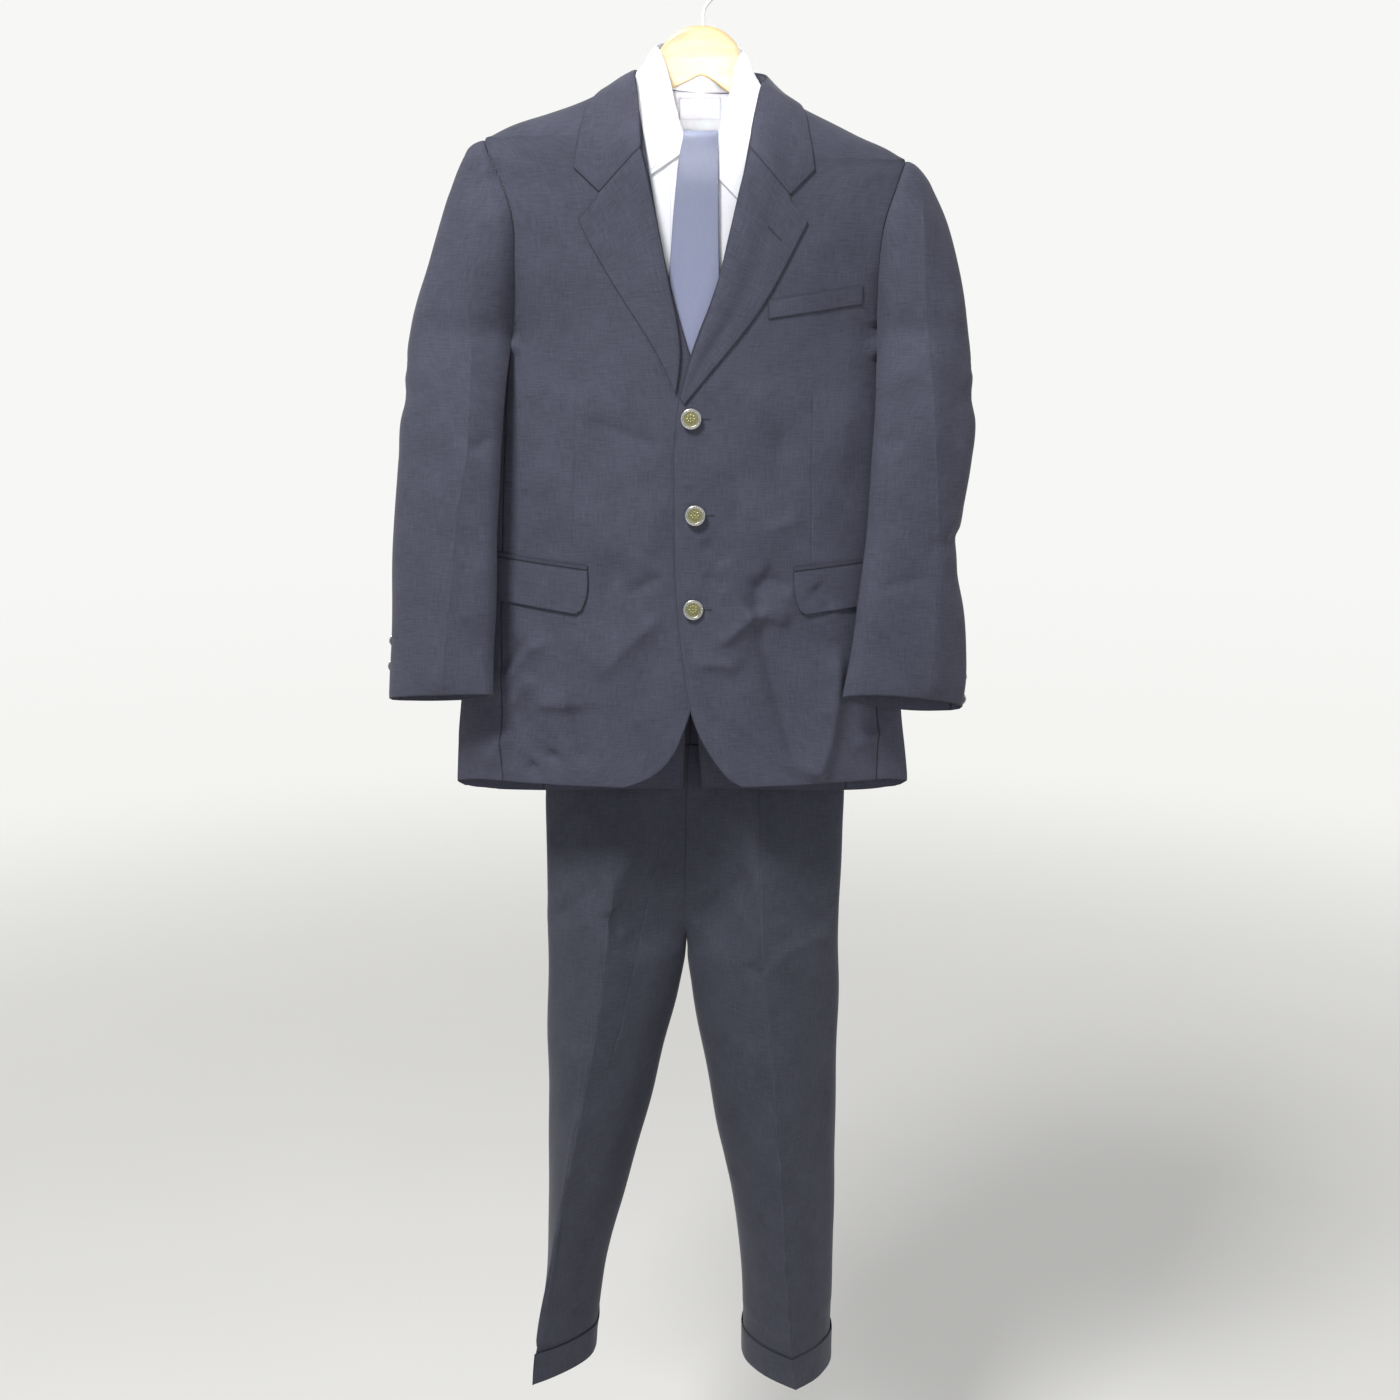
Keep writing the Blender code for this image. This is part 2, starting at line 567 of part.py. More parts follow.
def jacket_collar():
    def fall(place, climb):
        fold, edge, share, lying = collar_fold_and_edge(place)
        point = edge.lerp(fold, climb)
        end = 1 - soft_step(share / 0.14)
        down = 1 - climb
        dip = down / NOTCH_AT if down < NOTCH_AT else (1 - down) / (1 - NOTCH_AT)
        point.z -= NOTCH_DIP[LEFT if place < 0.5 else RIGHT] * dip * end
        if lying > 0:
            rise = ROLL * math.sin(math.pi * min(down * 1.3 + 0.25, 1))
            point.y = mix(point.y, on_front(point.x, point.z, LAPEL_LIFT + SUITING + rise).y, lying)
        over_cloth = soft_step((NECK_POINT[LEFT if place < 0.5 else RIGHT] + 2 - point.z) / 5)
        return point.lerp(outside(point, LAPEL_LIFT + SUITING), over_cloth)

    places = [0, 0.035, 0.07, 0.12, 0.165, 0.21, 0.245, 0.28, 0.31, 0.345, 0.38, 0.415, 0.455, 0.5]
    places += [1 - place for place in reversed(places[:-1])]
    wall("jacket_collar_fall", "suiting", fall, places, [0, 0.13, 0.26, 0.38, 0.5, 0.7, 1.0], SUITING, (0.002, 0.004))

    def stand(place, climb):
        fold = collar_fold_and_edge(place)[0]
        table, share = round_neck(COLLARS, place)
        inward = Vector((-fold.x, -max(fold.y, 0), 0)).normalized()
        top = fold + inward * (SUITING + 0.6) - Vector((0, 0, 1.5))
        seam = Vector((fold.x * 1.01, top.y * 0.96, STAND_SEAM("z_left" if place < 0.5 else "z_right", share)))
        return seam.lerp(top, climb)

    places = [0.262, 0.285, 0.31, 0.345, 0.38, 0.415, 0.455, 0.5]
    places += [1 - place for place in reversed(places[:-1])]
    wall("jacket_collar_stand", "suiting", stand, places, [0, 0.5, 1], SUITING, (0.002, 0.004))


# Where the collar's stand meets the neckline, round the neck.
STAND_SEAM = Table(
    "share z_left z_right",
    (0.42, -114.2, -100), (0.56, -113.5, -99.2), (0.78, -112.5, -106), (1.0, -111.5, -111.5),
)


def overlay(name, finish, corner_rows, lift, thick, columns=6, flare=0.0):
    """A flat trim on the jacket's front. corner_rows are (inner_x, inner_z, outer_x, outer_z) from the bottom
    up, where inner is nearer the centre; flare lifts its lowest row."""
    side = LEFT if corner_rows[0][2] > 0 else RIGHT
    top = len(corner_rows) - 1

    def surface(u, row):
        low = corner_rows[max(min(int(row), top - 1), 0)]
        high = corner_rows[max(min(int(row), top - 1), 0) + 1]
        share = row - max(min(int(row), top - 1), 0)
        inner_x, inner_z, outer_x, outer_z = (mix(a, b, share) for a, b in zip(low, high))
        from_inner = ordered(side, u)
        x, z = mix(inner_x, outer_x, from_inner), mix(inner_z, outer_z, from_inner)
        return on_front(x, z, lift + thick + flare * (1 - row / top))

    wall(name, finish, surface, spread(0, 1, columns), list(range(top + 1)), thick, (0.002, 0.002))


def jacket_pockets():
    overlay("chest_welt", "suiting", [(68, -336.5, 164, -322.5), (68, -318, 164, -304)], 0.8, 1.5)
    for side, inner, outer, drop in ((LEFT, 97, 200, 9), (RIGHT, -116, -230, 13)):
        word = "left" if side == LEFT else "right"
        high = -591 if side == LEFT else -589.5
        overlay(f"pocket_jet_{word}", "suiting",
                [(inner, high + 0.8, outer, high + drop + 0.8), (inner, high + 5.5, outer, high + drop + 5.5)],
                0.5, 1.3, 7)
        low = high - 45
        flap_rows = [
            (inner + side * 14, low, outer - side * 6, low + drop), (inner + side * 7, low + 4, outer, low + drop + 6),
            (inner + side * 3, low + 13, outer, low + drop + 15), (inner, high, outer, high + drop),
        ]
        overlay(f"pocket_flap_{word}", "suiting", flap_rows, 0.5, 1.9, 7, flare=1.2)


BUTTON = [(0.35, 1.2), (0.35, 2.4), (2.6, 2.4), (2.9, 8.5), (3.4, 10.2), (4.4, 10.5), (5.3, 9.8), (5.0, 8.0), (5.9, 3.5),
          (6.1, 1.0)]
CUFF_BUTTON = [(0.35, 0.8), (0.35, 1.6), (1.4, 1.6), (1.7, 6.2), (2.3, 7.4), (3.3, 7.2), (3.7, 4.0), (3.8, 1.0)]
FRONT_BUTTONS = [(-9, -434), (-5, -531), (-7, -628)]
CUFF_BUTTONS = {LEFT: (-683, -705), RIGHT: (-657, -681)}


def buttons():
    for number, (x, z) in enumerate(FRONT_BUTTONS, 1):
        turned(f"front_button_{number}", "silver_metal", BUTTON, on_front(x, z, 0), Vector((0, -1, 0)), 20)
    for side, levels in CUFF_BUTTONS.items():
        word = "left" if side == LEFT else "right"
        for number, level in enumerate(levels, 1):
            spot = sleeve_point(side, 0.535, level)
            ahead = sleeve_point(side, 0.545, level) - sleeve_point(side, 0.525, level)
            facing = Vector((ahead.y, -ahead.x, 0)) * side
            turned(f"cuff_button_{word}_{number}", "silver_metal", CUFF_BUTTON, spot - facing.normalized() * 0.3,
                   facing, 14)


# ------------------------------------------------------------------ the shirt and the tie

SHIRT_EDGES = {
    # the neckline, then the edge of each front at the placket
    LEFT: Table("level x", (-800, 5.3), (-205, 5.3), (-196, 8), (-180, 24), (-160, 38), (-135, 49), (-111, 55)),
    RIGHT: Table("level x", (-800, 4.7), (-207, 4.7), (-203, 1), (-190, -10), (-172, -28), (-150, -42), (-125, -52),
                 (-97, -58)),
}
SHIRT_TOP = {LEFT: -111.0, RIGHT: -97.0}
PLACKET = (-29.0, 5.0)


def shirt_point(turn, level):
    return body_point(turn, level, BODY_DEPTHS("inset", level), BODY_DEPTHS("ease", level))


def shirt_turn(x, level, back=False):
    return turn_at(x, level, BODY_DEPTHS("inset", level), back)


def on_shirt(x, z, lift, back=False):
    point = shirt_point(shirt_turn(x, z, back), z)
    return Vector((x, point.y + (lift if back else -lift), z))


def shirt_side_turn(side, level, back=False):
    """Where a shirt panel ends: at the shoulder line, at the armhole, and down the side."""
    if ARMPIT < level <= SHOULDER_END[side] + 6:
        turn = shirt_turn(BODY_SIDES[side]("seam", level) - side * 13, level, back)
    else:
        turn = side * (90 + RIDGE if back else 90 - RIDGE)
    return turn % 360 if back else turn


def shirt_body():
    levels = {
        LEFT: [-228, -206, -197, -191, -183, -170, -157, -145, -133, -121, SHIRT_TOP[LEFT]],
        RIGHT: [-225, -207, -193, -182, -172, -162, -148, -135, -121, -108, SHIRT_TOP[RIGHT]],
    }
    for side in (LEFT, RIGHT):
        def front(u, level, side=side):
            start = shirt_turn(SHIRT_EDGES[side]("x", level), level)
            return shirt_point(in_order(side, start, shirt_side_turn(side, level), u), level)

        word = "left" if side == LEFT else "right"
        wall(f"shirt_front_{word}", "shirt_cotton", front,
             sorted(ordered(side, share) for share in (0, 0.2, 0.42, 0.62, 0.8, 0.92, 1)),
             [SHIRT_HEM, -600, -450, -380, ARMPIT - 1, -320, -270] + levels[side], POPLIN)

    def back(u, level):
        return shirt_point(mix(shirt_side_turn(LEFT, level, True), shirt_side_turn(RIGHT, level, True), u), level)

    def yoke(u, climb):
        left, right = mix(-189.6, SHIRT_TOP[LEFT], climb), mix(-189.6, SHIRT_TOP[RIGHT], climb)
        turn = mix(shirt_side_turn(LEFT, left, True), shirt_side_turn(RIGHT, right, True), u)
        return shirt_point(turn, mix(left, right, u) - 9 * climb * math.sin(math.pi * u))

    half_steps = [0, 0.03, 0.08, 0.17, 0.29, 0.41, 0.5]
    wall("shirt_back", "shirt_cotton", back, half_steps + [1 - step for step in reversed(half_steps[:-1])],
         [SHIRT_HEM, -600, -450, -380, ARMPIT - 1, -320, -270, -225, -190], POPLIN)
    wall("shirt_yoke", "shirt_cotton", yoke, half_steps + [1 - step for step in reversed(half_steps[:-1])], [0, 0.09, 0.3, 0.55, 0.78, 1], POPLIN, (0.002, 0.004))

    def placket(u, level):
        return on_shirt(mix(*PLACKET, u), level, 0.4 + POPLIN)

    wall("shirt_placket", "shirt_cotton", placket, [0, 0.5, 1],
         [SHIRT_HEM, -640, -540, -450, -380, -320, -270, -228, -208], POPLIN)

    def label(u, climb):
        inner = on_shirt(mix(21, -21, u), mix(-139, -118, climb), 0, back=True)
        return inner - Vector((0, POPLIN + 1.5, 0))

    wall("shirt_label", "shirt_cotton", label, [0, 0.33, 0.67, 1], [0, 1], 0.8, (0.002, 0.004))


def shirt_sleeves():
    for side in (LEFT, RIGHT):
        def surface(u, level, side=side):
            return sleeve_point(side, mix(0.004, 0.996, ordered(side, u)), level, 5.4)

        word = "left" if side == LEFT else "right"
        top = -195 if side == LEFT else -175
        levels = [-412, -385, ARMPIT - 6, -320, -280, -240, -212, top]
        wall(f"shirt_sleeve_{word}", "shirt_cotton", surface, spread(0, 1, 10), levels, POPLIN)


# The shirt collar's half rounds, from the front (0) to the middle of the back (1). edge is the leaf's, and seam
# is where the stand meets the neckline. on_body is 1 where the leaf lies on the shirt.
SHIRT_COLLARS = {
    LEFT: Table(
        "share fold_x fold_y fold_z edge_x edge_y edge_z seam_x seam_y seam_z on_body",
        (0.0, 3, -51, -187, 54, -50, -239, 8, -49, -195.5, 1),
        (0.14, 17.5, -48, -163, 64, -47, -212, 15, -48, -186, 1),
        (0.18, 20.5, -47, -154.5, 66, -46, -205, 18, -48, -184, 1),
        (0.36, 31, -36, -119, 69, -38, -163, 39, -42, -157, 0.3),
        (0.52, 38, -20, -88, 60, -18, -122, 52, -26, -124, 0),
        (0.59, 41.8, -9, -80.5, 60.5, -6, -111, 55.5, -12, -117, 0),
        (0.66, 43.5, 4, -77, 58.5, 6, -108, 55.6, 2, -110, 0),
        (0.84, 31, 34, -68, 42, 34, -106, 41, 33, -113, 0),
        (1.0, 0, 43, -65, 0, 47.8, -106, 0, 46.8, -112.6, 0),
    ),
    RIGHT: Table(
        "share fold_x fold_y fold_z edge_x edge_y edge_z seam_x seam_y seam_z on_body",
        (0.0, -2, -51, -168, -66, -50, -211, 1, -49, -202.5, 1),
        (0.13, -15, -48, -164, -71, -47, -193, -14, -48, -185, 1),
        (0.18, -19.5, -47, -152.5, -72, -46, -186, -18, -48, -181, 1),
        (0.36, -28, -36, -118, -71, -36, -150, -42, -42, -148, 0.3),
        (0.52, -38, -20, -84, -62, -18, -110, -54, -26, -112, 0),
        (0.59, -41.8, -9, -76.5, -61, -6, -98, -56.5, -12, -104, 0),
        (0.66, -43.5, 4, -72, -59.5, 6, -95, -58, 2, -97, 0),
        (0.84, -31, 34, -66, -43, 34, -103, -42, 33, -107, 0),
        (1.0, 0, 43, -65, 0, 47.8, -106, 0, 46.8, -112.6, 0),
    ),
}


def shirt_collar():
    def fold_of(table, share):
        fold = Vector([table(f"fold_{axis}", share) for axis in "xyz"])
        fold.y = mix(fold.y, on_shirt(fold.x, fold.z, 2.2).y, table("on_body", share))
        return fold

    def leaf(place, climb):
        table, share = round_neck(SHIRT_COLLARS, place)
        edge = Vector([table(f"edge_{axis}", share) for axis in "xyz"])
        point = edge.lerp(fold_of(table, share), climb)
        if table("on_body", share) > 0:
            point.y = mix(point.y, on_shirt(point.x, point.z, 1.6 + 0.6 * climb).y, table("on_body", share))
        out = outside(point, 2.35, BODY_DEPTHS("inset", point.z), BODY_DEPTHS("ease", point.z))
        return point.lerp(out, (1 - soft_step((share - 0.6) / 0.2)) * soft_step((1 - climb) / 0.5))

    def stand(place, climb):
        table, share = round_neck(SHIRT_COLLARS, place)
        fold = fold_of(table, share)
        inward = Vector((-fold.x, -fold.y, 0)).normalized()
        seam = Vector([table(f"seam_{axis}", share) for axis in "xyz"])
        return seam.lerp(fold + inward * (POPLIN + 1.1) - Vector((0, 0, 1.2)), climb)

    rows = [0.0, 0.035, 0.07, 0.1, 0.14, 0.18, 0.22, 0.26, 0.3, 0.34, 0.39, 0.44, 0.4945]
    for word, places in (("left", rows), ("right", [1 - row for row in reversed(rows)])):
        wall(f"shirt_collar_leaf_{word}", "shirt_cotton", leaf, places, [0, 0.33, 0.67, 1], POPLIN, (0.002, 0.004))
    places = [0.02, 0.06, 0.12, 0.18, 0.24, 0.28, 0.33, 0.38, 0.44, 0.5]
    places += [1 - place for place in reversed(places[:-1])]
    wall("shirt_collar_stand", "shirt_cotton", stand, places, [0, 0.5, 1], POPLIN, (0.002, 0.004))


# The tie lies folded over the closed collar: the blade down the front, its tail inside the neck.
TIE = Table(
    "along right left y z",
    (0, -6.4, -5.6, -51.0, -560), (1, -40, 28, -51.0, -526), (2, -33, 22, -51.6, -371), (3, -28.6, 18.7, -51.8, -270),
    (4, -24.5, 18.2, -52.4, -220), (5, -19.5, 18, -53.2, -178), (6, -15.8, 17.4, -54.0, -160.5),
    (7, -15.5, 17, -51.0, -156.6), (8, -14.9, 16.6, -45.0, -156.6), (9, -14.6, 16.4, -41.6, -161.8),
    (10, -14, 15, -41.3, -190), (11, -13, 14, -40.5, -260),
)


def tie():
    def surface(u, along):
        right, left = TIE("right", along), TIE("left", along)
        sag = 1.6 * math.sin(math.pi * u) * soft_step((along - 5) / 1.5) * soft_step((10 - along) / 1.5)
        return Vector((mix(right, left, u), TIE("y", along), TIE("z", along) - sag))

    wall("tie", "tie_silk", surface, spread(0, 1, 5), [0, 1, 2, 3, 4, 5, 6, 6.5, 7, 7.5, 8, 8.5, 9, 10, 11], TIE_CLOTH,
         (0.004, 0.03))


# ------------------------------------------------------------------ the trousers

# The seams in the middle of the body, shared by both legs: front and seat are how far back they lie.
MIDDLE = Table(
    "level x front seat",
    (CROTCH, -15.4, 83, 86.5), (-1040, -15.4, 77, 90), (-970, -15.2, 59, 98), (-850, -13, 51.5, 85),
    (WAIST_SEAM, -11, 55.5, 69.5), (WAIST_TOP, -11, 56, 69),
)
# Each leg hangs with a sharp crease in front and behind. out is the outside seam and inner the inside seam.
TROUSERS = {
    LEFT: Table(
        "level out_x out_y crease_x crease_y back_x back_y inner_x inner_y",
        (-1580, 158, 78, 113, -13, 106, 165, 52, 78), (TROUSER_HEM, 158, 78, 112, -13, 106, 165, 52, 78),
        (-1510, 159.4, 78, 106, -12, 106, 165, 51.6, 78), (-1419, 160, 79, 101, -9, 103, 163, 47.6, 80),
        (-1290, 160.5, 80, 92, -4, 98, 158, 23.4, 82), (-1176, 161, 80, 84, 0, 90, 150, 3.5, 84),
        (-1090, 161, 79, 76, 5, 88, 146, -10, 84), (CROTCH, 160.5, 78, 73.5, 7.5, 88, 141, -15.4, 84),
        (-966, 161, 75, 68.7, 22, 85, 122, 0, 0), (-850, 162, 66, 65.5, 46, 85, 92, 0, 0),
        (WAIST_SEAM, 157, 62.5, 64, 55.5, 85, 69.5, 0, 0), (WAIST_TOP, 155, 62.5, 64, 56, 85, 69, 0, 0),
    ),
    RIGHT: Table(
        "level out_x out_y crease_x crease_y back_x back_y inner_x inner_y",
        (-1580, -192, 92, -195.5, -2, -149, 179, -128, 80), (TROUSER_HEM, -192, 92, -195, -2, -148, 178, -128, 80),
        (-1510, -187, 88, -190, -2, -141, 174, -122, 80), (-1428, -180, 80, -176, 0, -125, 165, -110, 80),
        (-1307, -178.5, 75, -153, -3, -105, 160, -76, 75), (-1145, -177, 75, -122, 3, -85, 150, -36, 80),
        (-1090, -176.5, 75, -113, 7, -85, 145, -23, 82), (CROTCH, -176, 74, -108, 11, -85, 139, -15.4, 84),
        (-978, -175, 72, -100, 18, -85, 125, 0, 0), (-840, -173, 66, -82, 46, -80, 90, 0, 0),
        (WAIST_SEAM, -168, 62.5, -78, 55.5, -80, 69.5, 0, 0), (WAIST_TOP, -166, 62.5, -78, 56, -80, 69, 0, 0),
    ),
}
HEM_DIP = {LEFT: 13.0, RIGHT: 0.0}


def leg_point(side, level, share, behind):
    """A point of a trouser panel. share is 0 at the outside seam, 0.5 at the crease and 1 at the inner seam."""
    table = TROUSERS[side]
    out = Vector((table("out_x", level), table("out_y", level), 0))
    crease = "back" if behind else "crease"
    crease = Vector((table(f"{crease}_x", level), table(f"{crease}_y", level), 0))
    inner = Vector((table("inner_x", level), table("inner_y", level), 0))
    if level > CROTCH:
        inner = Vector((MIDDLE("x", level), MIDDLE("seat" if behind else "front", level), 0))
    inner.x += side * SEAM / 2 * 1.4
    seam, climb = (out, share * 2) if share < 0.5 else (inner, 2 - share * 2)
    one_body = soft_step((level - CROTCH) / 60) if share >= 0.5 else 0.0
    full = mix(0.5, 0.85, soft_step((level + 900) / 100))
    bend = seam + Vector(((crease.x - seam.x) * 0.5 * one_body, (crease.y - seam.y) * full * (1 - one_body), 0))
    point = seam * (1 - climb) ** 2 + bend * 2 * climb * (1 - climb) + crease * climb**2
    near_hem = soft_step((-1400 - level) / 150)
    point.z = level - HEM_DIP[side] * near_hem * (1 - climb) * (1 if share < 0.5 else 0.5)
    point.y += SEAM / 2 if behind else -SEAM / 2
    return point


def round_leg(side, u, level):
    """Round the outside of a leg from the inner seam, over the front crease, and back to the inner seam."""
    walk = ordered(side, u)
    return leg_point(side, level, 1 - walk * 2, False) if walk < 0.5 else leg_point(side, level, walk * 2 - 1, True)


def turn_up_point(side, u, level):
    return moved_out(lambda a, b: round_leg(side, a, b), u, level, TROPICAL + 1.0)


def trouser_legs():
    levels = [TROUSER_HEM, -1543, -1523, -1440, -1350, -1250, -1160, -1095, CROTCH - 3, CROTCH + 4, -1020, -966,
              -905, -850, WAIST_SEAM - 0.3]
    columns = [0, 0.11, 0.28, 0.5, 0.72, 0.89, 1]
    for side in (LEFT, RIGHT):
        word = "left" if side == LEFT else "right"

        def front(u, level, side=side):
            return leg_point(side, level, 1 - ordered(side, u), False)

        def back(u, level, side=side):
            return leg_point(side, level, ordered(side, u), True)

        def round_it(u, level, side=side):
            return round_leg(side, u, level)

        def turn_up(u, level, side=side):
            return turn_up_point(side, u, level)

        wall(f"trouser_front_{word}", "trouser_cloth", front, columns, levels, TROPICAL)
        wall(f"trouser_back_{word}", "trouser_cloth", back, columns, levels, TROPICAL)
        wall(f"waistband_{word}", "trouser_cloth", round_it, [0, 0.25, 0.38, 0.5, 0.62, 0.75, 1],
             [WAIST_SEAM, WAIST_TOP], 1.6)
        wall(f"turn_up_{word}", "trouser_cloth", turn_up,
             [0.003, 0.06, 0.14, 0.25, 0.36, 0.44, 0.5, 0.56, 0.64, 0.75, 0.86, 0.94, 0.997],
             [TROUSER_HEM, -1543, TROUSER_HEM + TURN_UP], TROPICAL)


SNAP = [(0.7, 2.0), (0.7, 5.2), (1.9, 5.4), (2.7, 4.6), (2.9, 1.5)]


def snap():
    spot, ahead = turn_up_point(RIGHT, 0.62, -1540), turn_up_point(RIGHT, 0.64, -1540)
    facing = (ahead - spot).cross(Vector((0, 0, 1)))
    turned("turn_up_snap", "dark_snap", SNAP, spot, facing, 14)


# ------------------------------------------------------------------ the hangers

HOOK = [
    # the wire's centre line, from the wood up round the peg to its free end
    (3.5, -55.4), (3.5, -48), (3.6, -41), (6.5, -35.2), (12.4, -28.4), (16.3, -22.6), (17.6, -16), (16.6, -10.2),
    (13.6, -4.8), (8.8, -0.8), (3.0, 1.35), (-3.0, 1.35), (-8.8, -0.8), (-13.6, -4.8), (-16.6, -10.2), (-17.5, -16.5),
    (-16.2, -22), (-13.4, -26),
]
HANGER = Table(
    "x top bottom",
    (-207, -164.2, -188), (-200, -161, -190), (-159, -145.6, -178), (-99, -122.7, -151), (-72, -109, -134),
    (-62, -105, -128), (-54, -103, -123), (-47, -94, -120), (-42, -84, -117.5), (-38, -76, -115.6),
    (-30, -67.2, -111.9), (-20, -60.6, -107.3), (-10, -57.1, -102.8), (0, -56, -98.4), (10, -57.1, -103.9),
    (20, -60.6, -109.4), (30, -67.2, -114.9), (36, -73.4, -118), (38, -77.5, -119.3), (39.2, -84, -120),
    (41, -92, -121.5), (46, -103, -124.5), (54, -116, -130), (62, -119.5, -136.5), (72, -122.5, -143),
    (99, -134.7, -163), (139, -154.7, -185), (193, -181.8, -208), (200, -186, -205),
)
HANGER_THICKNESS = 11.5


def wooden_hanger():
    rings = []
    for x, *_ in HANGER.rows:
        top, bottom = HANGER("top", x), HANGER("bottom", x)
        end = 0.7 if abs(x) > 195 else 1.0
        half = HANGER_THICKNESS / 2 * end
        round_off = min(2.6, (top - bottom) * 0.2)
        profile = [
            (-half, bottom + 1.2), (-half, top - round_off), (-half * 0.5, top), (half * 0.5, top),
            (half, top - round_off), (half, bottom + 1.2), (half * 0.8, bottom), (-half * 0.8, bottom),
        ]
        rings.append([Vector((x, y, z)) for y, z in reversed(profile)])
    loft("hanger_wood", "pale_wood", rings)
    tube("hanger_hook", "white_wire", [Vector((x, 0, z)) for x, z in HOOK], 1.6)


def clip_hanger():
    """A second hanger on the same peg: its wire goes down behind the jacket to a bar with two clips."""
    wire = [(3.2, 62.3, -749.6), (3.2, 62.3, -600), (3.2, 62.3, -400), (3.2, 62.3, -200), (3.2, 62, -112),
            (3.3, 60.6, -88), (3.3, 54, -68), (3.4, 42, -58), (3.5, 24, -54.5), (3.5, 11, -51.5), (3.5, 5.4, -47)]
    path = [Vector(point) for point in wire] + [Vector((x, 3.7, z)) for x, z in HOOK[2:]]
    tube("clip_hanger_wire", "white_wire", path, 1.5)
    tube("clip_hanger_bar", "white_wire", [Vector((x, 62.3, -752.1)) for x in (-150, -50, 50, 140)], 2.0)
    outline = [(53.2, -788), (53.2, -747.3), (71.8, -747.3), (71.8, -788), (69.95, -788), (69.95, -749.4),
               (55.05, -749.4), (55.05, -788)]
    for word, x in (("left", 105), ("right", -115)):
        rings = [[Vector((x + side * 11, y, z)) for y, z in outline] for side in (1, -1)]
        loft(f"clip_{word}", "silver_metal", rings)


def clear_scene():
    for old in list(bpy.data.objects):
        bpy.data.objects.remove(old)


clear_scene()
for each in (LEFT, RIGHT):
    jacket_front(each)
    jacket_side(each)
    jacket_back(each)
    jacket_sleeve(each)
    lapel(each)
jacket_collar()
jacket_pockets()
buttons()
shirt_body()
shirt_sleeves()
shirt_collar()
tie()
trouser_legs()
snap()
wooden_hanger()
clip_hanger()
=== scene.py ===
"""A school uniform on its hanger: shirt and tie in a three-button blazer, with turned-up trousers behind."""

import math

import bmesh
import bpy
import numpy as np
from mathutils import Matrix, Vector
from mathutils.bvhtree import BVHTree


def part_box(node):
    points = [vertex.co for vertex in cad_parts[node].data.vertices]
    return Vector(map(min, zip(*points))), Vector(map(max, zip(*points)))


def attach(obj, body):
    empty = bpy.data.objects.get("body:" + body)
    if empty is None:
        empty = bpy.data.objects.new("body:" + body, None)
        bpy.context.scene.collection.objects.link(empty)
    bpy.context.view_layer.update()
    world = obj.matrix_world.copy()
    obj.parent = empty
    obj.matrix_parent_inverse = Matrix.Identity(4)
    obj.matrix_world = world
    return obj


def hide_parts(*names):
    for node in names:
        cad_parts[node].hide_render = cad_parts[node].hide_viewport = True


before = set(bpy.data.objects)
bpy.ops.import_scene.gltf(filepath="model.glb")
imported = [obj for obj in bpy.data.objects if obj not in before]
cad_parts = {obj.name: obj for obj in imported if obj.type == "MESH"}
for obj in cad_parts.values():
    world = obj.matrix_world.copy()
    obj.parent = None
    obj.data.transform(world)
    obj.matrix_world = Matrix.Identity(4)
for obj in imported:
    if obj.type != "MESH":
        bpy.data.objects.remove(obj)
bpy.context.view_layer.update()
scene = bpy.context.scene

# ------------------------------------------------------------------------------------------------- the studio
# A pale room with a level floor far enough down for the clothes to hang free. Daylight comes mostly from the
# wearer's right, high in front, and the pale walls fill the shade.


def linear(code):
    """An sRGB hex colour as the linear colour that a shader takes."""
    parts = [int(code[start : start + 2], 16) / 255 for start in (1, 3, 5)]
    return [part / 12.92 if part <= 0.04045 else ((part + 0.055) / 1.055) ** 2.4 for part in parts] + [1.0]


def add_node(tree, kind, settings=None, inputs=None):
    """A new node. inputs gives a socket, by name or number, a value or another node's output."""
    node = tree.nodes.new(kind)
    for name, value in (settings or {}).items():
        setattr(node, name, value)
    for name, value in (inputs or {}).items():
        if isinstance(value, bpy.types.NodeSocket):
            tree.links.new(value, node.inputs[name])
        else:
            node.inputs[name].default_value = value
    return node


def new_finish(name, roughness, **values):
    """A material, its tree and its shader, with the values that are the same all over the surface."""
    material = bpy.data.materials.new(name)
    material.use_nodes = True
    shader = material.node_tree.nodes["Principled BSDF"]
    shader.inputs["Roughness"].default_value = roughness
    for socket, value in values.items():
        shader.inputs[socket.replace("_", " ")].default_value = value
    return material, material.node_tree, shader


def spot(tree, output="Object"):
    """Where each point is in its object's space. For a world, Generated gives the direction looked in."""
    return add_node(tree, "ShaderNodeTexCoord").outputs[output]


def noise(tree, place, scale, stretch=None, **more):
    """Noise at a place, which is first stretched along each axis where a stretch is given."""
    if stretch:
        place = add_node(tree, "ShaderNodeMapping",
                         inputs={"Vector": place, "Scale": stretch}).outputs["Vector"]
    return add_node(tree, "ShaderNodeTexNoise",
                    inputs={"Vector": place, "Scale": scale, **more}).outputs["Fac"]


def ranged(tree, value, low=0.0, high=1.0, start=0.0, end=1.0, soft=False):
    """A value from low to high spread over start to end, eased at both where it is soft."""
    settings = {"interpolation_type": "SMOOTHSTEP"} if soft else {}
    return add_node(tree, "ShaderNodeMapRange", settings, {
        "Value": value, "From Min": low, "From Max": high, "To Min": start, "To Max": end,
    }).outputs["Result"]


def blended(tree, factor, first, second, blend="MIX"):
    """Two colours mixed by a factor. Each is an sRGB hex code or another node's output."""
    first, second = (linear(colour) if isinstance(colour, str) else colour for colour in (first, second))
    return add_node(tree, "ShaderNodeMix", {"data_type": "RGBA", "blend_type": blend}, {
        "Factor": factor, 6: first, 7: second,
    }).outputs[2]


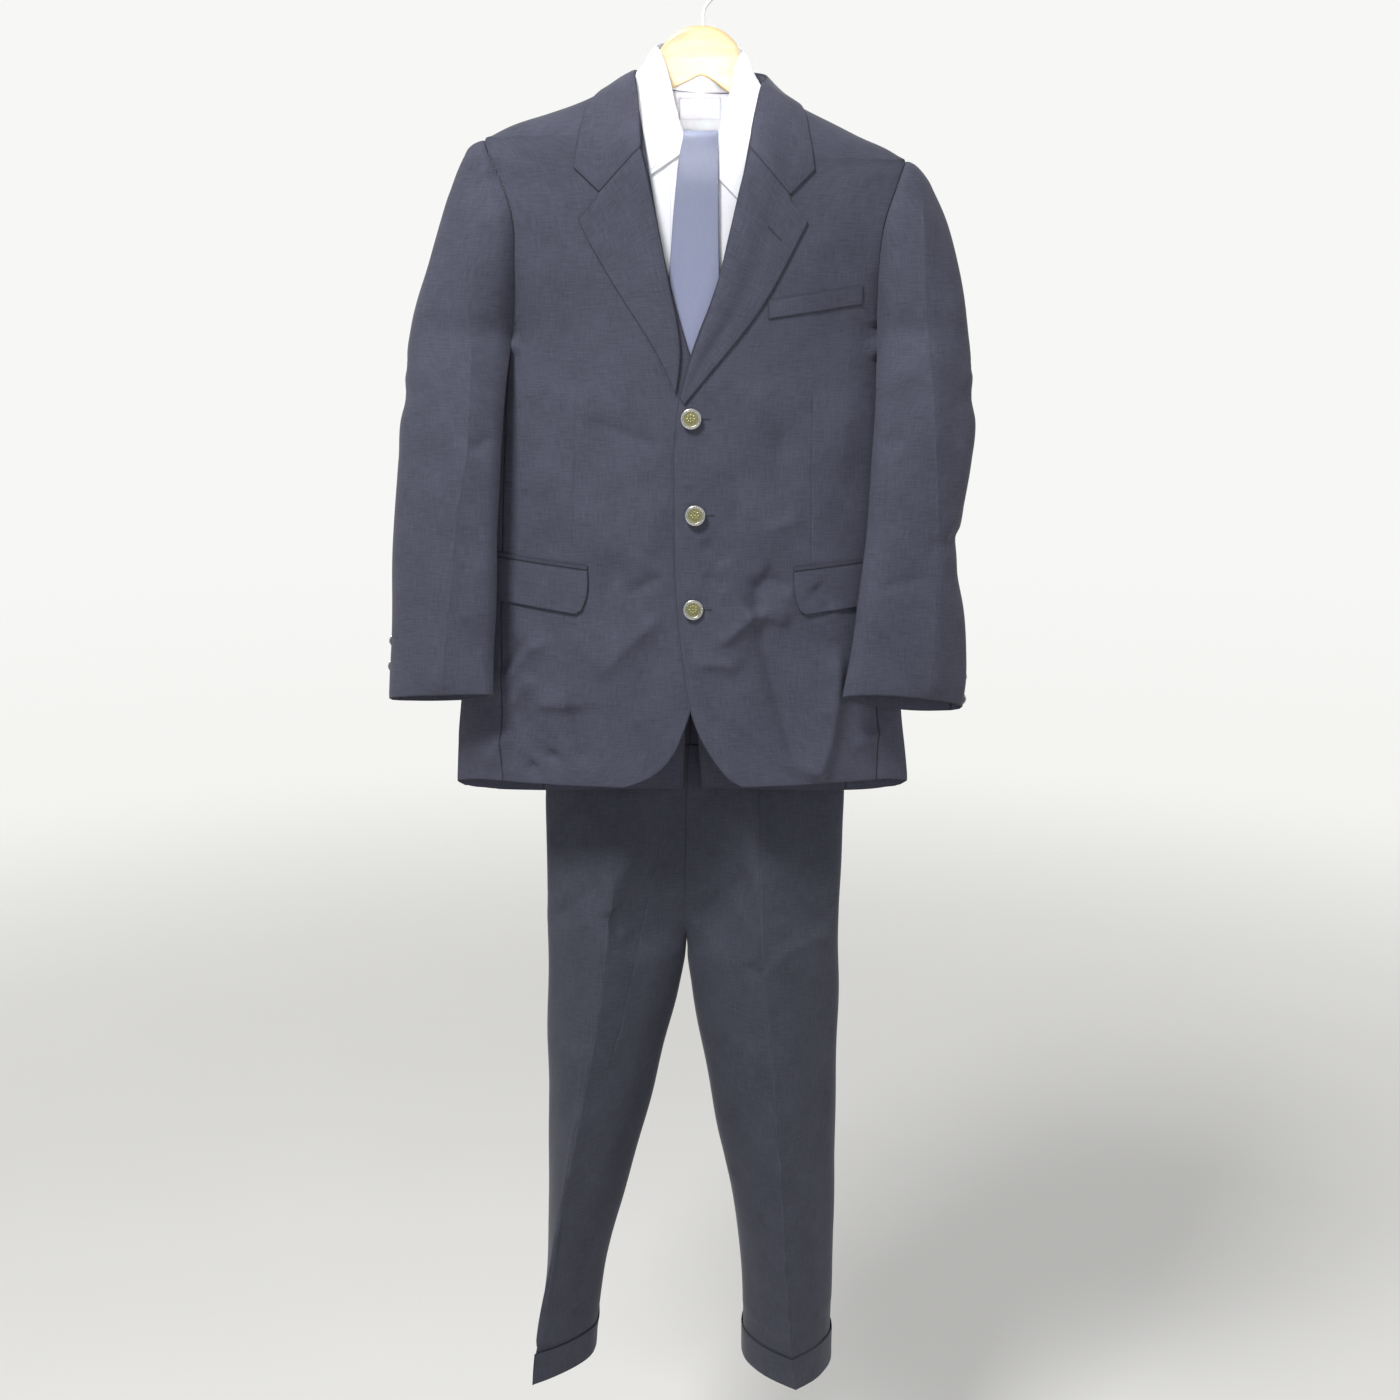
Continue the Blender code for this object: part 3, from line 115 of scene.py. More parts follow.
def finish_with(tree, shader, colour, rough=None, relief=None, strength=0.2, distance=0.0003):
    """Gives a shader its colour and, where they vary, its roughness and the height of its relief."""
    tree.links.new(colour, shader.inputs["Base Color"])
    if rough is not None:
        tree.links.new(rough, shader.inputs["Roughness"])
    if relief is not None:
        bump = add_node(tree, "ShaderNodeBump",
                        inputs={"Height": relief, "Strength": strength, "Distance": distance})
        tree.links.new(bump.outputs["Normal"], shader.inputs["Normal"])


def linked(name, data):
    """An object made from its data and put in the scene."""
    made = bpy.data.objects.new(name, data)
    scene.collection.objects.link(made)
    return made


def stand_floor(level=-2.0, half=6):
    material, tree, shader = new_finish("pale painted floor", 0.9)
    place = spot(tree)
    finish_with(tree, shader, blended(tree, noise(tree, place, 3.0), "#E6E5E3", "#E3E2E0"))
    # the floor runs out softly into the pale room, with no hard edge
    out = add_node(tree, "ShaderNodeVectorMath", {"operation": "LENGTH"}, {0: place})
    tree.links.new(ranged(tree, out.outputs["Value"], 2.4, 5.0, 1.0, 0.0, soft=True), shader.inputs["Alpha"])
    mesh = bpy.data.meshes.new("floor")
    corners = [(x * half, y * half, level) for x, y in ((-1, -1), (1, -1), (1, 1), (-1, 1))]
    mesh.from_pydata(corners, [], [(0, 1, 2, 3)])
    mesh.materials.append(material)
    linked("floor", mesh)


def light(name, place, aim, size, power, spread=180):
    lamp = bpy.data.lights.new(name, "AREA")
    lamp.size, lamp.energy, lamp.spread = size, power, math.radians(spread)
    held = linked(name, lamp)
    held.location = place
    held.rotation_euler = (Vector(aim) - Vector(place)).to_track_quat("-Z", "Y").to_euler()


stand_floor()
light("ceiling", (-1.0, -1.65, 1.7), (0, 0, -0.6), 0.7, 101)
light("room", (0.2, -3.0, -0.2), (0, 0, -0.7), 1.5, 13)
light("window", (2.3, -1.9, 0.4), (0, 0, -0.7), 1.6, 8)
light("reflector", (0.02, -1.7, -0.16), (0, 0.03, -0.118), 0.05, 0.045, 6)

# the walls: palest behind the clothes, and dimmer towards the room in front of them
world = bpy.data.worlds.new("pale room")
world.use_nodes = True
room = world.node_tree
backdrop = room.nodes["Background"]
way_out = add_node(room, "ShaderNodeSeparateXYZ", inputs={"Vector": spot(room, "Generated")}).outputs
pale = blended(room, ranged(room, way_out["Y"], -0.6, 0.6, soft=True), "#A3A4A5", "#F7F7F5")
downwards = ranged(room, way_out["Z"], -0.15, -0.6)
room.links.new(blended(room, downwards, pale, "#F0EFED", "MULTIPLY"), backdrop.inputs["Color"])
room.links.new(ranged(room, way_out["Z"], 0.2, 0.7, 1.0, 0.8, soft=True), backdrop.inputs["Strength"])
scene.world = world
scene.view_settings.view_transform = "Standard"

lens = bpy.data.cameras.new("camera")
lens.lens, lens.sensor_width = 45, 36
camera = linked("camera", lens)
camera.location = (0, -1.8305, -0.314)
camera.rotation_euler = (math.radians(77), 0, 0)
scene.camera = camera

# ----------------------------------------------------------------------------------------- the shirt's panels
# A white cotton poplin shirt, sewn from fronts, a back, a yoke and sleeves. Each panel is the frame's thin
# wall drawn again as smooth cloth: its grid is read, curved, creased, given a soft edge and laid out flat for
# the weave.


def border_of(faces):
    """The vertices round a set of faces, in order, or None where the border isn't one loop."""
    after = {}
    for face in faces:
        for loop in face.loops:
            if not any(other in faces for other in loop.edge.link_faces if other is not face):
                after[loop.vert] = loop.link_loop_next.vert
    if not after:
        return None
    ring = [next(iter(after))]
    while after.get(ring[-1]) is not ring[0]:
        ring.append(after.get(ring[-1]))
        if ring[-1] is None or len(ring) > len(after):
            return None
    return ring if len(ring) == len(after) else None


def read_rows(faces):
    """The rows of vertices of a grid that was cut into triangles, or None where the faces aren't a grid."""
    ring = border_of(faces)
    if ring is None:
        return None
    total, half = len({vert for face in faces for vert in face.verts}), len(ring) // 2 + 2
    spare = half * half - 4 * total
    if spare < 0 or math.isqrt(spare) ** 2 != spare:
        return None

    def across(first, second, used):
        for edge in first.link_edges:
            if edge.other_vert(first) is second:
                for face in edge.link_faces:
                    if face in faces and face not in used:
                        used.add(face)
                        return next(vert for vert in face.verts if vert is not first and vert is not second)
        return None

    def next_row(low, start, used):
        high = [start]
        for first, second in zip(low, low[1:]):
            tip = across(first, second, used)
            if tip is high[-1]:
                high.append(across(tip, second, used))
            elif tip is None or across(first, tip, used) is not high[-1]:
                return None
            else:
                high.append(tip)
            if high[-1] is None:
                return None
        return high

    for columns in {(half - math.isqrt(spare)) // 2, (half + math.isqrt(spare)) // 2}:
        for start in range(len(ring)):
            turned = ring[start:] + ring[:start]
            rows, used = [turned[:columns]], set()
            for start_of_row in turned[: -(total // columns) : -1]:
                rows.append(next_row(rows[-1], start_of_row, used))
                if rows[-1] is None:
                    break
            else:
                if len({vert for row in rows for vert in row}) == total:
                    return rows
    return None


def cad_wall(node):
    """The points of a wall's outer and inner faces in mm, as [row][column][xyz]. Rows climb, and columns run
    so that columns x rows point out of the cloth."""
    grid = bmesh.new()
    grid.from_mesh(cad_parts[node].data)
    bmesh.ops.remove_doubles(grid, verts=grid.verts, dist=2e-5)
    grid.normal_update()
    thick = 2 * grid.calc_volume() / sum(face.calc_area() for face in grid.faces)

    def patches(faces, joined):
        left, found = set(faces), []
        while left:
            front, patch = [left.pop()], set()
            while front:
                face = front.pop()
                patch.add(face)
                for edge in face.edges:
                    if joined(edge):
                        for other in edge.link_faces:
                            if other in left:
                                left.discard(other)
                                front.append(other)
            found.append(patch)
        return sorted(found, key=len, reverse=True)

    def is_strip(patch):
        area = sum(face.calc_area() for face in patch)
        length = sum(e.calc_length() for face in patch for e in face.edges
                     if any(f not in patch for f in e.link_faces))
        return 2 * area < 1.3 * thick * length

    for sharp in (0.9, 0.75, 0.6, 0.5, 0.4, 0.3):
        strips = {face for patch in patches(grid.faces, lambda e: e.calc_face_angle(3) < sharp)
                  if is_strip(patch)
                  for face in patch}
        for patch in patches(set(grid.faces) - strips, lambda e: True)[:2]:
            rows = read_rows(patch)
            if rows and 2 * len(rows) * len(rows[0]) == len(grid.verts):
                edge = set(border_of(patch))
                rim = {face for face in set(grid.faces) - patch if any(vert in edge for vert in face.verts)}
                others = read_rows(set(grid.faces) - patch - rim)
                if others:
                    sides = [np.array([[vert.co[:] for vert in row] for row in side]) * 1000
                             for side in (rows, others)]
                    grid.free()
                    return sides
    raise ValueError(f"{node} isn't a grid")


def turned_to(points, other):
    """The grid turned or mirrored so that its points lie next to the other grid's."""
    turns = [np.rot90(grid, k) for grid in (points, points[:, ::-1]) for k in range(4)]
    fitting = [grid for grid in turns if grid.shape == other.shape]
    return min(fitting, key=lambda grid: np.abs(grid - other).sum())


def facing(points):
    across = np.gradient(points, axis=1)
    along = np.gradient(points, axis=0)
    normal = np.cross(across, along)
    return normal / np.maximum(np.linalg.norm(normal, axis=2, keepdims=True), 1e-9)


def smooth_step(value):
    value = np.clip(value, 0, 1)
    return value * value * (3 - 2 * value)


def walked_along(points):
    """How far each point of a line is from its start, along the line."""
    return np.concatenate([[0], np.cumsum(np.linalg.norm(np.diff(points, axis=0), axis=1))])


def turning(points):
    """The angle, in degrees, by which each line along the first axis turns at each inner point."""
    steps = np.diff(points, axis=0)
    units = steps / np.maximum(np.linalg.norm(steps, axis=2, keepdims=True), 1e-6)
    return np.degrees(np.arccos(np.clip((units[1:] * units[:-1]).sum(axis=2), -1, 1)))


def curve_through(knots, points, places):
    """Smooth curves through the points at the knots, read at new places. A line keeps its corner where it
    turns as sharply as a pressed crease, or as a corner of the panel's outline."""
    steps = np.diff(knots)[:, None, None]
    slopes = np.diff(points, axis=0) / steps
    if len(knots) == 2:
        share = ((places - knots[0]) / steps[0, 0, 0])[:, None, None]
        return points[0] * (1 - share) + points[1] * share
    share = steps[:-1] / (steps[:-1] + steps[1:])
    inner = slopes[:-1] * (1 - share) + slopes[1:] * share
    ways = np.concatenate([1.5 * slopes[:1] - 0.5 * inner[:1], inner, 1.5 * slopes[-1:] - 0.5 * inner[-1:]])
    limits = np.full(points.shape[1], 48.0)
    limits[[0, -1]] = 20.0
    corner = smooth_step((turning(points) - limits) / 14)[..., None]
    start, end = ways[:-1].copy(), ways[1:].copy()
    start[1:] += corner * (1.5 * slopes[1:] - 0.5 * ways[2:] - start[1:])
    end[:-1] += corner * (1.5 * slopes[:-1] - 0.5 * ways[:-2] - end[:-1])
    span = np.clip(np.searchsorted(knots, places, side="right") - 1, 0, len(steps) - 1)
    share = ((places - knots[span]) / steps[span, 0, 0])[:, None, None]
    low, high = points[span], points[span + 1]
    first, last = start[span] * steps[span], end[span] * steps[span]
    return (low * (1 + 2 * share) * (1 - share) ** 2 + first * share * (1 - share) ** 2
            + high * share**2 * (3 - 2 * share) + last * share**2 * (share - 1))


def measured(points, axis):
    """Distances along an axis of the grid, where it has a pressed crease, and where its outline has a
    corner."""
    points = np.moveaxis(points, axis, 0)
    lengths = np.linalg.norm(np.diff(points, axis=0), axis=2)
    knots = np.concatenate([[0], np.cumsum(np.maximum(np.mean(lengths, axis=1), 0.2))])
    angles = turning(points)
    creases = [knot + 1 for knot, angle in enumerate(np.median(angles, axis=1)) if angle > 50]
    corners = [knot + 1 for knot, row in enumerate(angles)
               if max(row[0], row[-1]) > 22 and knot + 1 not in creases]
    return knots, creases, corners


def places_along(knots, creases, corners, step):
    """Where the fine grid's lines go: evenly, on the outline's corners, and closer together at both edges and
    beside a crease."""
    places = []
    marks = [0, *creases, len(knots) - 1]
    for first, last in zip(marks, marks[1:]):
        start, end = knots[first], knots[last]
        edge = np.array([0.3, 1.0, 2.4]) * min(1, (end - start) / 12)
        inner = np.linspace(start + edge[-1], end - edge[-1], max(int((end - start) / step), 2))
        for corner in (knots[knot] for knot in corners if start + 4 < knots[knot] < end - 4):
            inner[np.argmin(np.abs(inner - corner))] = corner
        near = [start] if first == 0 else []
        far = [end] if last == len(knots) - 1 else []
        places += [*near, *(start + edge[:-1]), *inner, *(end - edge[-2::-1]), *far]
    return np.array(places)


def creased(points, folds):
    """How far the folds push each point out, in mm. A fold is its height, the reach of its left and right
    flanks when walked from first to last point, how much of it fades at the start and end where that isn't
    0.3 each, and its points (x, z)."""
    push = np.zeros(len(points))
    for height, left, right, *fades, line in folds:
        fade_in, fade_out = fades or (0.3, 0.3)
        line = np.array(line, float)
        steps = np.diff(line, axis=0)
        lengths = np.linalg.norm(steps, axis=1)
        before = walked_along(line)
        nearest = np.full(len(points), 1e9)
        share, side = np.zeros(len(points)), np.zeros(len(points))
        for start, step, length, so_far in zip(line, steps, lengths, before):
            offset = points - start
            walked = np.clip(offset @ step / length**2, 0, 1)
            gap = offset - walked[:, None] * step
            distance = np.linalg.norm(gap, axis=1)
            closer = distance < nearest
            nearest = np.where(closer, distance, nearest)
            share = np.where(closer, (so_far + walked * length) / before[-1], share)
            side = np.where(closer, np.sign(step[0] * gap[:, 1] - step[1] * gap[:, 0]), side)
        reach = np.where(side > 0, left, right)
        fade = smooth_step(share / fade_in) * smooth_step((1 - share) / fade_out)
        away = np.sqrt(nearest**2 + 3.0) - math.sqrt(3.0)  # 3 rounds off the fold's crest
        push += height * fade * (0.6 * np.exp(-away / reach) + 0.4 * np.exp(-away / (2.8 * reach)))
    return push


def hung_folds(front_folds, back_folds, turn=0.3):
    """The folds of a garment, for sew: one set where the cloth faces forward, and one where it faces back."""

    def folds(spots, ways):
        front = smooth_step((turn - ways[:, 1]) / (2 * turn))
        flat = spots[:, [0, 2]]
        return front * creased(flat, front_folds) + (1 - front) * creased(flat, back_folds)

    return folds


def unevenness(points, size):
    """Hung cloth is never quite flat: slow waves a few centimetres long."""
    x, y, z = points.T
    wave = np.sin(x / 23 + z / 61 + 1.3) * np.sin(z / 47 - x / 90 + 0.4)
    wave += 0.6 * np.sin(x / 13 - z / 38 + y / 19)
    return size * (wave + 0.5 * np.sin(z / 21 + x / 33 + y / 27 + 2.2))


def press_line(mesh, outer_count, depth, reach, *points):
    """A sewn line, a dart or a pressed crease on a panel's outer face, along points (x, z) in mm: a narrow
    groove, or a narrow ridge where its depth is below zero."""
    points = np.array(points, float)
    before = walked_along(points)
    grid = bmesh.new()
    grid.from_mesh(mesh)
    near_edge = grid.verts.layers.float["to_edge"]
    outer = {vert for vert in grid.verts if vert.index < outer_count}
    moved = set()
    for first, last, so_far in zip(points, points[1:], before):
        length = np.linalg.norm(last - first)
        along = (last - first) / length
        over = Vector((along[1], 0, -along[0]))

        def where(vert):
            offset = np.array([vert.co.x * 1000 - first[0], vert.co.z * 1000 - first[1]])
            return float(offset @ along), float(offset[0] * along[1] - offset[1] * along[0])

        for shift in (-reach, 0.0, reach):
            band = []
            for face in grid.faces:
                if all(vert in outer for vert in face.verts):
                    spots = [where(vert) for vert in face.verts]
                    beside = all(-2 < spot[0] < length + 2 for spot in spots)
                    if beside and min(abs(spot[1]) for spot in spots) < 8:
                        band.append(face)
            geometry = {part for face in band for part in (face, *face.edges, *face.verts)}
            centre = Vector((first[0], 0, first[1])) / 1000 + over * shift / 1000
            made = bmesh.ops.bisect_plane(grid, geom=list(geometry), dist=1e-6, plane_co=centre,
                                          plane_no=over)
            outer.update(part for part in made["geom_cut"] if isinstance(part, bmesh.types.BMVert))
        grid.normal_update()
        for vert in outer - moved:
            walked, aside = where(vert)
            if -1 < walked < length + 1 and abs(aside) < reach * 0.3:
                done = so_far + walked
                fade = float(smooth_step(min(done, before[-1] - done) / 12 + 0.15))
                vert.co -= vert.normal * depth * fade / 1000
                # a groove's middle is set close to an edge, so that the cloth's seam colour paints shade down
                # it
                vert[near_edge] = 0.25 * (1 - fade) if depth > 0 else vert[near_edge]
                moved.add(vert)
    grid.to_mesh(mesh)
    grid.free()


WIDE_SEAM = 5  # mm: a seam drawn on from further off than this is lapped a little near the underarm
LAP, LAP_TOP, LAP_FADE = 2.0, -230, 60  # mm: how far it laps, the height it starts below, and its run-in


def met(outer, inner, path, limit, reach=9):
    """The two faces with their borders drawn onto a seam line that a neighbour already has, up to a limit in
    mm. The cloth within a reach of the border goes along. A wide seam is lapped a little near the
    underarm."""
    starts, steps = path[:-1], np.diff(path, axis=0)
    border = np.zeros(outer.shape[:2], bool)
    border[[0, -1]] = border[:, [0, -1]] = True
    edge = outer[border]
    shares = np.clip(((edge[:, None] - starts) * steps).sum(axis=2) / (steps**2).sum(axis=1), 0, 1)
    nearest = starts + shares[..., None] * steps
    gaps = np.linalg.norm(edge[:, None] - nearest, axis=2)
    best = gaps.argmin(axis=1)
    pulls = nearest[np.arange(len(edge)), best] - edge
    outward = edge - outer.mean(axis=(0, 1))
    lap = (LAP if limit > WIDE_SEAM else 0.0) * smooth_step((LAP_TOP - edge[:, 2]) / LAP_FADE)[:, None]
    pulls += lap * outward / np.linalg.norm(outward, axis=1)[:, None]
    pulls *= smooth_step((limit - gaps.min(axis=1)) / (limit * 0.25))[:, None]
    flat = outer.reshape(-1, 3)
    moves = np.zeros_like(flat)
    for start in range(0, len(flat), 4000):
        away = np.linalg.norm(flat[start : start + 4000, None] - edge[None], axis=2)
        closest = away.argmin(axis=1)
        moves[start : start + 4000] = pulls[closest] * np.exp(-((away.min(axis=1) / reach) ** 2))[:, None]
    moves = moves.reshape(outer.shape)
    return outer + moves, inner + moves


def place_piece(name, mesh, slot, *nodes):
    """A piece that rides on the body, and stands for the CAD nodes given."""
    piece = linked(name, mesh)
    if nodes:
        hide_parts(*nodes)
    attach(piece, "root")
    return piece


def smoothed(mesh):
    mesh.polygons.foreach_set("use_smooth", [True] * len(mesh.polygons))


def sew(node, finish, slot, step=4.0, folds=None, soft=0.5, groove=3.5, round_edge=0.35, hold="hung",
        rests=("hanger_wood",), lines=(), with_pieces=(), wave=0.7, declare=True, walls=None, meets=(),
        limit=9.0):
    """One panel of cloth from its wall in the frame. folds gives the push for points and outward directions,
    soft is how far the cloth dips towards its edges, over groove mm, and its border is drawn onto the seam
    lines in meets that lie within a limit of it. Returns the piece and its outer points."""
    outer, inner = walls or cad_wall(node)
    inner = turned_to(inner, outer)
    rise = [np.abs(np.diff(outer[..., 2], axis=axis)).mean() for axis in (0, 1)]
    if rise[1] > rise[0]:
        outer, inner = outer.transpose(1, 0, 2), inner.transpose(1, 0, 2)
    if outer[-1, :, 2].mean() < outer[0, :, 2].mean():
        outer, inner = outer[::-1], inner[::-1]
    if (facing(outer) * (outer - inner)).sum() < 0:
        outer, inner = outer[:, ::-1], inner[:, ::-1]
    if outermost(node, outer, inner):
        outer, inner = outer[:, ::-1], inner[:, ::-1]
        outer, inner = inner, outer
    for axis in (0, 1):
        knots, creases, corners = measured(outer, axis)
        places = places_along(knots, creases, corners, step)
        sides = [np.moveaxis(side, axis, 0) for side in (outer, inner)]
        outer, inner = (np.moveaxis(curve_through(knots, side, places), 0, axis) for side in sides)
    lie = facing(outer)
    rows, columns = outer.shape[:2]

    # the flat pattern: across from the middle of each row, and up the middle column
    widths = np.linalg.norm(np.diff(outer, axis=1), axis=2)
    flat_x = np.concatenate([np.zeros((rows, 1)), np.cumsum(widths, axis=1)], axis=1)
    flat_x -= flat_x[:, columns // 2, None]
    heights = np.linalg.norm(np.diff(outer[:, columns // 2], axis=0), axis=1)
    flat_y = np.repeat(np.concatenate([[0], np.cumsum(heights)])[:, None], columns, axis=1)
    area = float((widths[:-1] * np.linalg.norm(np.diff(outer, axis=0), axis=2)[:, :-1]).sum()) / 1e6

    # the folds, the slow waves, and the dip towards the edges
    spots, ways = outer.reshape(-1, 3), lie.reshape(-1, 3)
    push = unevenness(spots, wave)
    if folds:
        push = push + folds(spots, ways)
    heights_to_edge = np.cumsum(np.linalg.norm(np.diff(outer, axis=0), axis=2), axis=0)
    down = np.concatenate([np.zeros((1, columns)), heights_to_edge])
    left = np.concatenate([np.zeros((rows, 1)), np.cumsum(widths, axis=1)], axis=1)
    to_edge = np.minimum.reduce([down, down[-1] - down, left, left[:, -1:] - left])
    push = push.reshape(rows, columns) - soft * np.exp(-((to_edge / groove) ** 2))
    outer = outer + lie * push[..., None]
    inner = inner + lie * push[..., None]
    for path in meets:
        outer, inner = met(outer, inner, path, limit)

    # the edge: both faces close in on it, round a line of points halfway between them
    face_points = outer.copy()
    middle = (outer + inner) / 2
    ring = [(0, c) for c in range(columns)] + [(r, columns - 1) for r in range(1, rows)]
    ring += [(rows - 1, c) for c in range(columns - 2, -1, -1)] + [(r, 0) for r in range(rows - 2, 0, -1)]
    half = (outer - inner) / 2
    rim = []
    for place in ring:
        r, c = place
        inside = (min(max(r, 1), rows - 2), min(max(c, 1), columns - 2))
        shift = (middle[inside] - middle[place]) * 0.5
        # sewn neighbours meet: the frame leaves 0.3 mm between them
        rim.append(middle[place] - shift / max(np.linalg.norm(shift), 1e-6) * 0.24)
        outer[place] = middle[place] + half[place] * (1 - round_edge) + shift
        inner[place] = middle[place] - half[place] * (1 - round_edge) + shift
    points = np.concatenate([outer.reshape(-1, 3), inner.reshape(-1, 3), np.array(rim)]) / 1000
    total = rows * columns

    def number(r, c):
        return r * columns + c

    faces = []
    for r in range(rows - 1):
        for c in range(columns - 1):
            quad = [number(r, c), number(r, c + 1), number(r + 1, c + 1), number(r + 1, c)]
            faces += [quad, [total + corner for corner in reversed(quad)]]
    for i, place in enumerate(ring):
        j = (i + 1) % len(ring)
        here, there = number(*place), number(*ring[j])
        faces += [[there, here, 2 * total + i, 2 * total + j],
                  [2 * total + j, 2 * total + i, total + here, total + there]]
    mesh = bpy.data.meshes.new(node)
    mesh.from_pydata(points.tolist(), [], faces)
    mesh.validate()

    flat = np.stack([flat_x.ravel(), flat_y.ravel()], axis=1) / 1000
    flat = np.concatenate([flat, flat, flat[[number(*place) for place in ring]]])
    edge = np.concatenate([to_edge.ravel(), to_edge.ravel(), np.zeros(len(ring))])
    layer = mesh.uv_layers.new(name="flat")
    corners = np.empty(len(mesh.loops), int)
    mesh.loops.foreach_get("vertex_index", corners)
    layer.data.foreach_set("uv", flat[corners].ravel())
    near = mesh.attributes.new("to_edge", "FLOAT", "POINT")
    near.data.foreach_set("value", edge / 10)
    for line in lines:
        press_line(mesh, total, *line)
    mesh.materials.append(finish)
    smoothed(mesh)
    piece = place_piece(f"{node}_cloth", mesh, slot, node)
    if declare:
        size = (float(np.ptp(flat_x)) / 1000, float(np.ptp(flat_y)) / 1000)
        size = (max(size[0], area / size[1]), size[1])
    return piece, face_points


CORES = {
    # a line up the middle of each tube of cloth: (x, y, z) at its bottom and top
    "sleeve_left": ((215, -36, -715), (212, 0, -200)), "sleeve_right": ((-270, -33, -715), (-218, 0, -180)),
    "trouser_left": ((106, 76, -1563), (73, 62.5, -820)),
    "trouser_right": ((-160, 85, -1563), (-88, 62.5, -820)),
    "body": ((-5, 5, -840), (0, 3, -60)),
}


def outermost(node, outer, inner):
    """Whether the first face that was read is really the inner one."""
    side = "left" if node.endswith("left") or "_left" in node else "right"
    legs = node.startswith(("trouser", "waistband", "turn_up"))
    kind = "sleeve" if "sleeve" in node else "trouser" if legs else "body"
    low, high = (np.array(end, float) for end in CORES[kind if kind == "body" else f"{kind}_{side}"])
    share = ((outer[..., 2] - low[2]) / (high[2] - low[2]))[..., None]
    core = low + (high - low) * share
    away = (outer - core) * (1, 1, 0)
    return ((outer - inner) * away).sum() < 0


# ----------------------------------------------------------------------------------- the shirt's cloth pieces
# Poplin is a fine plain weave of bleached cotton: matt, with faint slubs, and a little darker along its
# sewn edges, which is painted shade. Real threads are 0.3 mm apart, and are drawn 0.9 mm apart so that they
# show.


def weighed(tree, value, weight, other):
    """A value times its weight, plus another value."""
    return add_node(tree, "ShaderNodeMath", {"operation": "MULTIPLY_ADD"},
                    {0: value, 1: weight, 2: other}).outputs[0]


def woven(name, roughness, pitch, light_code, dark_code, seam_shade_code, bump, sheen, twill=False):
    """Cloth that reads its flat pattern: threads, slubs along the warp, slow patches, and painted shade that
    darkens its sewn edges and pressed grooves."""
    material, tree, shader = new_finish(name, roughness, Sheen_Weight=sheen, Sheen_Roughness=0.4,
                                        Specular_IOR_Level=0.22)
    flat = add_node(tree, "ShaderNodeUVMap", {"uv_map": "flat"}).outputs["UV"]
    turned = add_node(tree, "ShaderNodeMapping", inputs={
        "Vector": flat, "Rotation": (0, 0, math.radians(63 if twill else 0)),
    }).outputs["Vector"]
    warp, weft = (add_node(tree, "ShaderNodeTexWave", {"bands_direction": way}, {
        "Vector": place, "Scale": 0.314 / pitch, "Distortion": bend, "Detail": 1.0, "Detail Scale": fine,
    }).outputs["Fac"] for way, place, bend, fine in (("X", turned, 1.1, 1.6), ("Y", flat, 0.9, 1.8)))
    threads = add_node(tree, "ShaderNodeMix", {"data_type": "FLOAT"},
                       {0: 0.25 if twill else 0.5, 2: warp, 3: weft})
    slubs = noise(tree, flat, 1.0, (900, 55, 1), Detail=3.0)
    picks = noise(tree, flat, 1.0, (60, 800, 1), Detail=2.0)
    fibres = add_node(tree, "ShaderNodeMath", {"operation": "ADD"}, {0: slubs, 1: picks}).outputs[0]
    fibres = weighed(tree, fibres, 0.42, -0.12)
    shade = weighed(tree, threads.outputs[0], 0.22, fibres)
    clouded = weighed(tree, noise(tree, flat, 22.0, Detail=3.0), 0.3, shade)
    colour = blended(tree, ranged(tree, clouded, 0.24, 0.8), dark_code, light_code)
    # painted shade: within 1.6 mm of a sewn edge or a pressed groove the cloth darkens towards the seam
    # colour
    to_edge = add_node(tree, "ShaderNodeAttribute", {"attribute_name": "to_edge"}).outputs["Fac"]
    seam_shade = ranged(tree, to_edge, 0.0, 0.16, 0.6, 0.0, soft=True)
    finish_with(tree, shader, blended(tree, seam_shade, colour, seam_shade_code),
                ranged(tree, clouded, start=roughness + 0.06, end=roughness - 0.06), shade, bump, 0.0004)
    return material


SHIRT_FRONT_FOLDS = [
    (-0.8, 5, 5, [(-32, -189), (-31, -222)]),
    (1.0, 7, 9, [(-52, -250), (-44, -300), (-46, -350)]),
    (-1.1, 8, 6, [(30, -215), (38, -262), (36, -330)]),
    (0.9, 6, 8, [(-58, -205), (-50, -232), (-47, -262)]),
    (-1.2, 9, 7, [(-20, -620), (8, -668), (2, -730)]),
]
SHIRT_BACK_FOLDS = [
    (1.6, 9, 12, [(-60, -240), (-48, -340), (-52, -450)]),
    (1.4, 12, 9, [(55, -250), (62, -370), (52, -520)]),
    (-1.5, 9, 9, [(-10, -300), (-2, -420), (-12, -560)]),
]
# the poplin's seam colour is painted shade along its sewn edges
poplin = woven("bleached cotton poplin", 0.82, 0.0009, "#E3E4E9", "#D6D7DE", "#C6C8D2", 0.25, 0.1)
shirt_grain = dict(finish=poplin, slot="shirt_cotton", wave=0.45,
                   folds=hung_folds(SHIRT_FRONT_FOLDS, SHIRT_BACK_FOLDS, turn=0.25))


def hemmed(node, rise=14.0, reach=160.0):
    """A wall whose lowest part is drawn up a little, so that its hem hangs clear above the blazer's
    cutaway."""
    walls = cad_wall(node)
    low = min(side[..., 2].min() for side in walls)
    for side in walls:
        side[..., 2] += rise * np.clip(1 - (side[..., 2] - low) / reach, 0, 1)
    return walls


